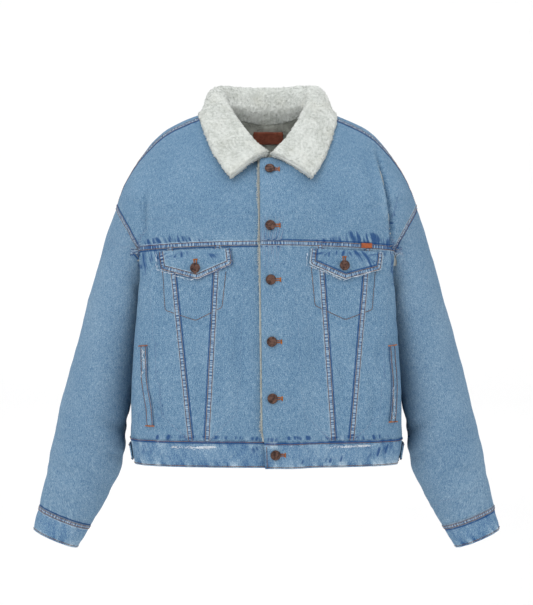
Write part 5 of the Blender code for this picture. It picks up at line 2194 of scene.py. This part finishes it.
@dataclass
class Collar:
    """The collar: a stand and a fall of thick pile, rolled over and laid off the shoulders."""

    jacket: Jacket
    sections: int = 370
    points: int = 170
    face: int = 100
    hem: int = 75
    face_count: int = 7000
    edge_count: int = 3000

    def build(self) -> None:
        """Builds it and its curls."""
        jacket = self.jacket
        ring = self.ring()
        fine = self.refined(ring, self.sections, self.points)
        normal = unit(np.cross(np.gradient(fine, axis=0), np.gradient(fine, axis=1)))
        centre = fine.mean(axis=1, keepdims=True)
        if float(np.mean(np.sum(normal * (fine - centre), axis=-1))) < 0:
            normal = -normal
        clumps, small, swell = Noise(31, 5.0), Noise(32, 2.7), Noise(33, 19.0)
        puff = 1.7 * np.abs(clumps(fine))**0.8 + 1.5 * np.abs(small(fine)) + 0.9 * swell(fine) - 0.4
        moved = fine + normal * puff[..., None]
        moved[:, -1] = moved[:, 0]
        # The pile's height, which the finish turns into painted shade in its hollows.
        obj = grid_object("collar_pile", moved, normal, fine, {"lift": (puff + 0.6) / 2.8})
        weld(obj, capped=True)
        obj.data.materials.append(jacket.pile)
        jacket.own(obj, "collar", slot="sherpa")
        face = slice(0, self.face)
        curls = jacket.curls("collar_curls", moved[:, face].reshape(-1, 3), normal[:, face].reshape(-1, 3),
                             self.face_count, 35, 0.9)
        ends = np.concatenate([moved[:3], moved[-3:]]).reshape(-1, 3)
        away = np.concatenate([moved[:3] - moved[6:9], moved[-3:] - moved[-9:-6]])
        hem = np.concatenate([moved[:, self.hem:self.face].reshape(-1, 3), ends])
        off = np.concatenate([normal[:, self.hem:self.face].reshape(-1, 3), unit(away.reshape(-1, 3))])
        first = len(hem) - len(ends)
        spread = np.concatenate([np.arange(first), np.tile(np.arange(first, len(hem)), 4)])
        jacket.own(jacket.curls("collar_edge_curls", hem[spread], off[spread], self.edge_count, 36, 1.0),
                   slot="sherpa")
        jacket.own(curls, slot="sherpa")

    @staticmethod
    def neck(at: float, height: float) -> tuple[Grid, Grid]:
        """A point by the neck's edge, from the middle of the back (0) to the collar's front ends (1 and -1).

        Args:
            at: Where round the neck.
            height: How far over the yokes.

        Returns:
            The point and the direction up from it.
        """
        side, a = (1 if at >= 0 else -1), abs(at)
        if a <= 0.5:
            cloth, s = yoke(side, True), a / 0.5
        else:
            cloth = yoke(side)
            end = float(column(cloth, np.array([9.0 + side * COLLAR_MIDDLE_X]), np.array([1.0]))[0])
            s = end + (1 - end) * (1 - a) / 0.5
        here, below = cloth.leaf(s, 1.0, height), cloth.leaf(s, 0.97, height)
        return here, unit(here - below)

    @staticmethod
    def lifted_off(points: Grid, distance: Grid) -> Grid:
        """Points moved out of the yokes until each is at least a distance over the nearest place on them.

        Args:
            points: The points.
            distance: The least distance of each.

        Returns:
            The points.
        """
        tree, places = KDTree(8 * 41 * 41), []
        for side in SIDES.values():
            for back in (False, True):
                cloth = yoke(side, back)
                s, t = np.meshgrid(np.linspace(-0.1 if side > 0 and not back else 0, 1, 41),
                                   np.linspace(0.3, 1, 41))
                places += list(zip(cloth.leaf(s, t, 0.0).reshape(-1, 3), cloth.outward(s, t).reshape(-1, 3)))
        for number, (here, _) in enumerate(places):
            tree.insert(here, number)
        tree.balance()
        moved = points.reshape(-1, 3).copy()
        for number, least in enumerate(distance.ravel()):
            for _ in range(5):
                here, out = places[tree.find(moved[number])[1]]
                moved[number] += out * max(0.0, least - float(np.dot(moved[number] - here, out)))
        return moved.reshape(points.shape)

    @classmethod
    def ring(cls) -> Grid:
        """The collar's sections, each a closed ring over its face and back.

        Returns:
            Sections, points and coordinates.
        """
        count, turns = 27, 12
        q = np.linspace(0, 1, turns)
        middle, half, base = np.zeros((turns, count, 3)), np.zeros((turns, count)), []
        for spot, at in enumerate(np.linspace(-1, 1, count)):
            side, a = (1 if at >= 0 else -1), abs(at)
            out_base, rise = cls.neck(at, 0.2)
            stand = COLLAR_WALL - 3.0 * float(smooth((a - 0.7) / 0.3))
            in_base, _ = cls.neck(at, 0.2 - stand)
            half[:, spot] = np.where(q < 0.35, stand / 2,
                                     COLLAR_WALL / 2 * (1 - 0.25 * smooth((q - 0.85) / 0.15)))
            base.append((in_base - rise * 4.0, out_base + rise * BASE_RISE))
            start = (in_base + out_base) / 2 + rise * BASE_RISE
            fold, edge = (np.array([through(COLLAR, f"{which}_{axis}", a) for axis in "xyz"])
                          for which in ("fold", "edge"))
            shift = smooth((a - 0.4) / 0.6)
            fold, edge = fold * [side, 1, 1], edge * [side, 1, 1]
            if side > 0:
                fold[1] -= LAP_LIFT * (1 - smooth((fold[0] - LAP_FLAT_X) / LAP_FADE))
            fold[0] += COLLAR_MIDDLE_X * shift
            edge[0] += COLLAR_TIP_SHIFT * shift
            spread = smooth(a / 0.25) * (1 - smooth((a - 0.86) / 0.12))
            pushed = 7.0 + 8.0 * float(bump(a - 0.36, 0.16))
            fold[0] += side * pushed * spread - side * 4.0 * smooth((a - 0.9) / 0.1)
            edge += (fold - edge) * 0.10 * smooth((a - 0.94) / 0.06)
            out = unit((edge - start) * [1, 1, 0])
            up, roll = unit(fold - start), float(through(COLLAR, "roll", a))
            inner = bezier(start, start + (rise * 6 + up * 4) * roll / 13, fold - out * roll, fold,
                           np.clip(q / 0.4, 0, 1))
            outer = bezier(fold, fold + out * roll * 1.3, edge + (fold - edge) * 0.4 + out * 8, edge,
                           np.clip((q - 0.4) / 0.6, 0, 1))
            middle[:, spot] = np.where((q <= 0.4)[:, None], inner, outer)
            fuller = bump(a - 0.36, 0.17) * bump(q - 0.58, 0.24)
            middle[:, spot] += fuller[:, None] * (out * 12.0 + [0, 0, 5.0])
        for _ in range(3):
            middle[:, 1:-1] = (middle[:, :-2] + 2 * middle[:, 1:-1] + middle[:, 2:]) / 4
        middle[q > 0.3] = cls.lifted_off(middle[q > 0.3], half[q > 0.3] + COLLAR_CLEAR)
        normal = unit(np.cross(np.gradient(middle, axis=1), np.gradient(middle, axis=0)))
        face, back = middle + normal * half[..., None], middle - normal * half[..., None]
        for spot, (inside, outside) in enumerate(base):
            face[0, spot], back[0, spot] = inside, outside
        ring = np.concatenate([face, back[::-1]], axis=0).transpose(1, 0, 2)
        for _ in range(2):
            ring[1:-1] = (ring[:-2] + 2 * ring[1:-1] + ring[2:]) / 4
        return ring

    @staticmethod
    def refined(ring: Grid, along: int, around: int) -> Grid:
        """Smooth sections between the given ones, with more points round each.

        Args:
            ring: The sections.
            along: How many sections to make.
            around: How many points round each.

        Returns:
            The finer sections.
        """

        def spline(rows: Grid, at: Grid, loop: bool) -> Grid:
            """A smooth curve through rows of points, read at places counted in rows.

            Args:
                rows: The rows.
                at: Where to read it.
                loop: True where the last row meets the first.

            Returns:
                The points.
            """
            count = len(rows)
            i = np.floor(at).astype(int) if loop else np.clip(np.floor(at).astype(int), 0, count - 2)
            t = (at - i).reshape(-1, *([1] * (rows.ndim - 1)))
            pick = (lambda n: rows[n % count]) if loop else (lambda n: rows[np.clip(n, 0, count - 1)])
            a, b, c, d = (pick(i + k) for k in (-1, 0, 1, 2))
            second, third = 2 * a - 5 * b + 4 * c - d, 3 * b - a - 3 * c + d
            return 0.5 * (2 * b + (c - a) * t + second * t**2 + third * t**3)

        longer = spline(ring, np.linspace(0, len(ring) - 1, along), False)
        size = ring.shape[1]
        rounds = spline(longer.transpose(1, 0, 2), np.linspace(0, size, around), True)
        return rounds.transpose(1, 0, 2)


FLAP_INNER_X, FLAP_OUTER_X = (66.5, 63.5), (188.0, 184.0)
FLAP_DROP, FLAP_LIFT, FLAP_WALL = 8.5, 1.2, 2.6
FLAP_BOTTOM = [(0.0, -263.5), (0.49, -289.0), (1.0, -272.0)]
POCKETS = {"right": [(-174.5, -274), (-169.6, -340), (-118.0, -357), (-74.0, -335), (-67.3, -274)],
           "left": [(74.0, -265), (80.6, -332), (131.5, -355.7), (177.9, -338.6), (183.7, -274)]}
POCKET_BUTTONS = {"left": (129.0, -265.0), "right": (-117.7, -269.5)}


@dataclass
class Pockets:
    """The chest pockets: their flaps, and their outlines sewn through the fronts."""

    jacket: Jacket
    width: float = 121.0
    wall: float = 2.4
    edge: float = 5.2

    def build(self) -> None:
        """Builds both flaps."""
        for name, side in SIDES.items():
            self.flap(name, side)

    def outline(self) -> None:
        """Sews each pocket's outline on the fronts, before the panels are laid."""
        for name, side in SIDES.items():
            spots = np.array(POCKETS[name])
            run = np.concatenate([[0], np.cumsum(np.linalg.norm(np.diff(spots, axis=0), axis=1))])
            at = np.arange(0, run[-1], 3.0)
            x, z = (np.interp(at, run, column) for column in spots.T)
            u, v = torso(side).find(x * side, z)
            line = (torso(side), u, v)
            self.jacket.seam(f"pocket_{name}", line, pucker=0.35, reach=7.0, strip=False, rows=(0.0,))

    def flap(self, name: str, side: int) -> None:
        """Builds a flap with its own rows.

        Args:
            name: Its side's name.
            side: 1 or -1.
        """
        jacket, edge, width = self.jacket, self.edge, self.width
        cloth = torso(side)

        def places(across: Grid, down: Grid) -> tuple[Grid, Grid]:
            """Places on the front for a share across the flap and down it.

            Args:
                across: The share across.
                down: The share down.

            Returns:
                The places u and v.
            """
            distance = between((between(FLAP_INNER_X, down), between(FLAP_OUTER_X, down)), across)
            bottom = np.interp(across, *zip(*FLAP_BOTTOM))
            x = distance + side * button_line(YOKE_Z - 6)
            u, _ = cloth.find(x, 0 * across + YOKE_Z - 6)
            top = BodyForm.top(np.abs(u)) - FLAP_DROP
            z = between((top, bottom), down)
            return cloth.find(distance + side * button_line(z), z)

        relief = Relief()
        sewing = Sewing(relief)
        sewing.threads = jacket.sewing.threads
        spots = np.array([(edge / width, 0.02), (edge / width, 1 - edge / 27), (0.49, 1 - edge * 1.05 / 52),
                          (1 - edge / width, 1 - edge / 34), (1 - edge / width, 0.02)])
        share = np.linspace(0, 1, 90)
        run = np.concatenate([[0], np.cumsum(np.linalg.norm(np.diff(spots * [width, 42], axis=0), axis=1))])
        across, down = (np.interp(share * run[-1], run, column) for column in spots.T)
        u, v = places(across, down)
        high = FLAP_LIFT + FLAP_WALL
        seam = Seam(f"flap_{name}", cloth.leaf(u, v, high), cloth.outward(u, v), pucker=0.9, reach=10.0)
        relief.seams.append(seam)
        across, down = np.meshgrid(np.linspace(0, 1, 72), np.linspace(0, 1, 30))
        u, v = places(across, down)
        points, out = cloth.leaf(u, v, high), cloth.outward(u, v)
        rim = np.minimum(np.minimum(across, 1 - across) * width, (1 - down) * 45)
        # Pale worn edges, plus the front's patches of darker dye and painted shade under the flap.
        relief.rim = (rim < 1.7).ravel() * -0.62 + jacket.relief.height(points.reshape(-1, 3))[1]["dye"]
        obj = panel(f"flap_{name}_cloth", points, out, relief, jacket.denim, slack=0.5, wall=self.wall)
        relief.rim = 0.0
        jacket.own(obj, f"flap_{name}")
        for row in seam.rows:
            sewing.row(seam, row, 0.3)


BUTTON_PROFILE = [(0.0, 0.0), (5.6, 0.0), (7.6, 0.9), (8.45, 1.7), (8.6, 2.4), (8.3, 3.1), (7.6, 3.55),
                  (6.9, 3.6), (6.3, 3.3), (5.9, 2.95), (5.2, 2.85), (4.4, 3.0), (3.6, 3.05), (2.8, 2.95),
                  (2.0, 3.1), (0.0, 3.2)]
FRONT_BUTTONS = [(5.6, -108.0), (6.4, -200.0), (7.2, -289.0), (8.9, -392.0), (10.0, -486.0), (15.0, -579.0)]


@dataclass
class Buttons:
    """The copper buttons: a rolled rim round a dished, blank face."""

    jacket: Jacket
    turns: int = 40
    rise: float = 0.6
    pocket_rise: float = FLAP_LIFT + FLAP_WALL + 0.7

    def build(self) -> None:
        """Builds them all."""
        for number, (x, z) in enumerate(FRONT_BUTTONS, 1):
            self.button(f"button_{number}", front_at(1, z), x, z, self.rise)
        for name, (x, z) in POCKET_BUTTONS.items():
            side = SIDES[name]
            self.button(f"pocket_button_{name}", torso(side), x * side, z, self.pocket_rise)

    def holes(self) -> None:
        """Sews the buttonholes beside the front buttons and over the pockets' buttons."""
        sewing = self.jacket.sewing
        for x, z in FRONT_BUTTONS:
            cloth = front_at(1, z)
            for up in (1.7, -1.7):
                sewing.bar(cloth, (x + 6.5, z + up), (x + 15.0, z + up * 0.8), 1.9, 0.55)
            sewing.bar(cloth, (x + 15.8, z + 3.4), (x + 15.8, z - 3.4), 2.4, 0.7)
        for name, (x, z) in POCKET_BUTTONS.items():
            cloth, high = torso(SIDES[name]), FLAP_LIFT + FLAP_WALL + 0.5
            for over in (-1.9, 1.9):
                sewing.bar(cloth, (x + over, z + 7.0), (x + over, z + 13.5), 1.8, high)
            sewing.bar(cloth, (x - 3.2, z + 14.2), (x + 3.2, z + 14.2), 2.4, high)
            sewing.bar(cloth, (x - 1.0, z - 9.4), (x + 1.0, z - 9.4), 1.6, high)

    def button(self, name: str, cloth: Cloth, x: float, z: float, height: float) -> None:
        """Turns one button and stands it on the cloth.

        Args:
            name: Its name.
            cloth: The surface.
            x: Its x on that surface.
            z: Its height.
            height: How far off the surface it stands.
        """
        u, v = cloth.find(np.array([x]), np.array([z]))
        point, way = cloth.leaf(u, v, height)[0], cloth.outward(u, v)[0]
        bm = bmesh.new()
        verts = [bm.verts.new((r * MM, 0, h * MM)) for r, h in BUTTON_PROFILE]
        edges = [bm.edges.new(pair) for pair in zip(verts, verts[1:])]
        bmesh.ops.spin(bm, geom=verts + edges, cent=(0, 0, 0), axis=(0, 0, 1), angle=2 * math.pi,
                       steps=self.turns, use_merge=True)
        bmesh.ops.remove_doubles(bm, verts=bm.verts, dist=1e-6)
        bmesh.ops.recalc_face_normals(bm, faces=bm.faces[:])
        turn = Vector(way).to_track_quat("Z", "Y").to_matrix().to_4x4()
        bm.transform(Matrix.Translation(Vector(point * MM)) @ turn)
        obj = link(f"{name}_face", bm)
        obj.data.materials.append(self.jacket.copper)
        self.jacket.own(obj, name, slot="copper")


ON_CLOTH, ON_FLAP, ON_WELT = 0.5, 3.6, 3.7
FLAP_FRAYS = {-1: [(-184, -243), (-182, -272), (-125, -290), (-63, -264), (-64, -240)],
              1: [(67, -243), (66, -264), (128, -290), (186, -272), (190, -243)]}


@dataclass
class Trims:
    """The welts, the waist tabs, the tab on the chest and the label in the neck."""

    jacket: Jacket
    welt_width: float = 14.0
    welt_wall: float = 2.3
    welt_gap: float = 0.6
    tab_width: float = 28.0
    tab_wall: float = 2.4
    tab_gap: float = 1.4
    row_inset: float = 2.2
    hide: float = 1.4

    def build(self) -> None:
        """Builds them, then lays the loose threads where the cloth is worn through."""
        sewing = self.jacket.sewing
        for name, side in SIDES.items():
            spots = np.array(WELTS[name])
            z = np.linspace(spots[0, 1], spots[-1, 1], 62)
            x = np.interp(z, spots[:, 1], spots[:, 0])
            for _ in range(12):
                x[1:-1] = (x[:-2] + 2 * x[1:-1] + x[2:]) / 4
            u, v = torso(side).find(x * side, z)
            self.strip(f"welt_{name}", torso(side), u, v, self.welt_width, self.welt_wall, self.welt_gap)
            for end, tilt in ((0, 0.0), (-1, 1.2)):
                start, stop = (x[end] - 7.5, z[end] - tilt), (x[end] + 7.5, z[end] + tilt * 0.2)
                sewing.bar(torso(side), start, stop, 2.2, 3.4)
            t = np.linspace(1.19, 1.67, 40)
            self.strip(f"waist_tab_{name}", band(side), t, 0 * t + 0.42, self.tab_width, self.tab_wall,
                       self.tab_gap)
        self.chest_tab()
        self.neck_label()
        for start, end, spread, count in FRAYS:
            high = ON_WELT if abs(start[0]) > 200 else ON_CLOTH
            sewing.loose(front_at(1 if start[0] > 0 else -1, start[1]), start, end, spread, count, high)
        for side, corners in FLAP_FRAYS.items():
            for start, end in zip(corners, corners[1:]):
                sewing.loose(torso(side), start, end, 1.2, int(math.dist(start, end) * 0.7), ON_FLAP)

    def strip(self, name: str, cloth: Cloth, u: Grid, v: Grid, width: float, wall: float, gap: float) -> None:
        """A strip of cloth along a line of places, with a row by each edge.

        Args:
            name: Its name.
            cloth: The surface.
            u: Places across.
            v: Places up.
            width: How wide it is.
            wall: How thick it is.
            gap: How far it stands off.
        """
        jacket = self.jacket
        relief = Relief()
        sewing = Sewing(relief)
        sewing.threads = jacket.sewing.threads
        line = cloth.leaf(u, v, gap + wall)
        row = width / 2 - self.row_inset
        seam = Seam(name, line, cloth.outward(u, v), half=width / 2, rows=(-row, row), pucker=0.5, reach=9.0)
        steps, columns = int(seam.run[-1] / 2.2), max(int(width / 1.7), 7)
        run, across = np.meshgrid(np.linspace(0, seam.run[-1], steps),
                                  np.linspace(-width / 2, width / 2, columns), indexing="ij")
        relief.seams.append(seam)
        base = jacket.relief.height(seam.points, 1.0)[0]
        points, out = sewing.at(seam, run, across, 0.0)
        points = points + out * np.interp(run, seam.run, base)[..., None] * 0.6
        crown = 0.25 - 0.5 * (np.abs(across) / (width / 2))**6
        points += out * crown[..., None]
        _, marks = relief.height(points.reshape(-1, 3), 0.0)
        near_edge = width / 2 - np.abs(across)
        # Near its edges the strip is marked like a seam: a painted shadow line at the very edge and a brown
        # line inside it.
        marks["across"] = np.where(near_edge < 2.6, 4.4 - near_edge * 0.9, 12.0)
        obj = grid_object(f"{name}_cloth", points, out, None, marks)
        thicken(obj, wall, jacket.denim)
        jacket.own(obj, name)
        max(width * MM, 0.0101)
        for across_row in seam.rows:
            sewing.row(seam, across_row, 0.35)

    def slab(self, name: str, points: Grid, out: Grid, finish: bpy.types.Material) -> None:
        """A flat piece of hide.

        Args:
            name: Its name.
            points: Rows and columns of points.
            out: The directions out of it.
            finish: Its material.
        """
        obj = grid_object(f"{name}_hide", points, out)
        thicken(obj, self.hide, finish)
        self.jacket.own(obj, name, slot="leather")

    def chest_tab(self) -> None:
        """The small folded tab in the pocket's seam, left blank."""
        seam_z = -229.5
        x, z = np.meshgrid(np.linspace(157.6, 175.3, 14), np.linspace(-235.8, -227.4, 8))
        u, v = torso(1).find(x, np.minimum(z, seam_z))
        above = (z - seam_z).clip(0)
        points = torso(1).leaf(u, v, 4.2) + stack(0, 0, above)
        points += torso(1).outward(u, v) * (0.4 * Noise(51, 6.0)(points))[..., None]
        self.slab("chest_tab", points, torso(1).outward(u, v), self.jacket.tab)

    def neck_label(self) -> None:
        """The blank label inside the neck, its ends cut in scallops."""
        middle_x, half, low_z, tall = 3.25, 28.75, -38.0, 22.5
        x, z = np.meshgrid(np.linspace(middle_x - half, middle_x + half, 44),
                           np.linspace(low_z, low_z + tall, 18))
        share = (z - low_z) / tall
        notch = 1.5 * np.abs(np.sin(share * math.pi * 2.5)) * smooth(np.abs((x - middle_x) / half) * 3 - 2)
        x = x - np.sign(x - middle_x) * notch
        rear = yoke(1, True)
        s, t = rear.find(np.abs(x), z)
        s = s * np.sign(x)
        depth = DENIM + LINING_GAP + SHERPA + 4.2
        points, out = rear.leaf(s, t, -depth), -rear.outward(s, t)
        edge = np.minimum.reduce([share, 1 - share, (1 - np.abs((x - middle_x) / half)) * 1.3])
        points += out * (0.7 * smooth(edge / 0.12) + 0.5 * Noise(52, 14.0)(points))[..., None]
        self.slab("neck_label", points, out, self.jacket.label)


FLOOR = [(-9.0, -1.20), (2.2, -1.20), (2.9, -1.06), (3.4, -0.7), (3.7, 0.1), (3.8, 1.2), (3.8, 7.0)]
LIGHTS = [("key", (-1.7, -2.6, 1.9), 1.3, 34.0), ("fill", (2.4, -2.4, 0.6), 2.0, 8.0),
          ("top", (0.0, -0.4, 2.6), 1.6, 14.0)]


@dataclass(frozen=True)
class Stage:
    """The floor, the light and the camera, in metres."""

    half_width: float = 9.0
    sky: float = 0.93
    lit: tuple[float, float, float] = (0.0, 0.0, -0.33)
    camera_away: float = 3.0
    camera_z: float = -0.327
    sensor_mm: float = 36.0
    seen_mm_per_pixel: float = 1.75
    picture_height: int = 605

    def build(self) -> None:
        """Sets them up."""
        scene = bpy.context.scene
        scene.view_settings.view_transform = "Standard"
        scene.view_settings.look = "None"
        self.floor()
        self.lights(scene)
        self.camera(scene)

    def floor(self) -> None:
        """A pale floor that sweeps up behind."""
        bm = bmesh.new()
        verts = [bm.verts.new((-self.half_width, y, z)) for y, z in FLOOR]
        edges = [bm.edges.new(pair) for pair in zip(verts, verts[1:])]
        made = bmesh.ops.extrude_edge_only(bm, edges=edges)["geom"]
        ends = [one for one in made if isinstance(one, bmesh.types.BMVert)]
        bmesh.ops.translate(bm, verts=ends, vec=(2 * self.half_width, 0, 0))
        bmesh.ops.recalc_face_normals(bm, faces=bm.faces[:])
        obj = link("floor", bm)
        f = Finish("pale_floor", 0.95, Specular_IOR_Level=0.1)
        cloud = f.noise(f.space(), 1.3, 1.0)
        f.set("Base Color", f.mix((cloud * 0.1 + 0.5).over(0.0, 1.0), (0.95, 0.95, 0.95), (0.97, 0.97, 0.97)))
        obj.data.materials.append(f.material)

    def lights(self, scene: bpy.types.Scene) -> None:
        """Soft light from above and both sides.

        Args:
            scene: The scene.
        """
        world = bpy.data.worlds.new("studio")
        world.use_nodes = True
        background = world.node_tree.nodes["Background"].inputs
        background["Color"].default_value = (1.0, 1.0, 1.0, 1.0)
        background["Strength"].default_value = self.sky
        scene.world = world
        for name, place, size, power in LIGHTS:
            lamp = bpy.data.lights.new(name, "AREA")
            lamp.energy, lamp.size = power, size
            obj = bpy.data.objects.new(name, lamp)
            obj.location = place
            obj.rotation_euler = (Vector(self.lit) - Vector(place)).to_track_quat("-Z", "Y").to_euler()
            scene.collection.objects.link(obj)

    def camera(self, scene: bpy.types.Scene) -> None:
        """The camera, level with the middle of the jacket.

        Args:
            scene: The scene.
        """
        seen = self.seen_mm_per_pixel * self.picture_height * MM
        lens = bpy.data.cameras.new("camera")
        lens.sensor_width, lens.lens = self.sensor_mm, self.sensor_mm * self.camera_away / seen
        lens.clip_end = 60.0
        obj = bpy.data.objects.new("camera", lens)
        obj.location = (0.0, -self.camera_away, self.camera_z)
        obj.rotation_euler = (math.radians(90), 0.0, 0.0)
        scene.collection.objects.link(obj)
        scene.camera = obj


def main() -> None:
    """Builds the jacket and its stage."""
    logging.basicConfig(level=logging.INFO, format="%(message)s")
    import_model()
    Stage().build()
    jacket = Jacket()
    pockets, buttons = Pockets(jacket), Buttons(jacket)
    pockets.outline()
    Body(jacket).build()
    Sleeves(jacket).build()
    Waistband(jacket).build()
    Lining(jacket).build()
    Collar(jacket).build()
    pockets.build()
    Trims(jacket).build()
    buttons.build()
    buttons.holes()
    jacket.sew()
    jacket.gather()


if __name__ == "__main__":
    main()
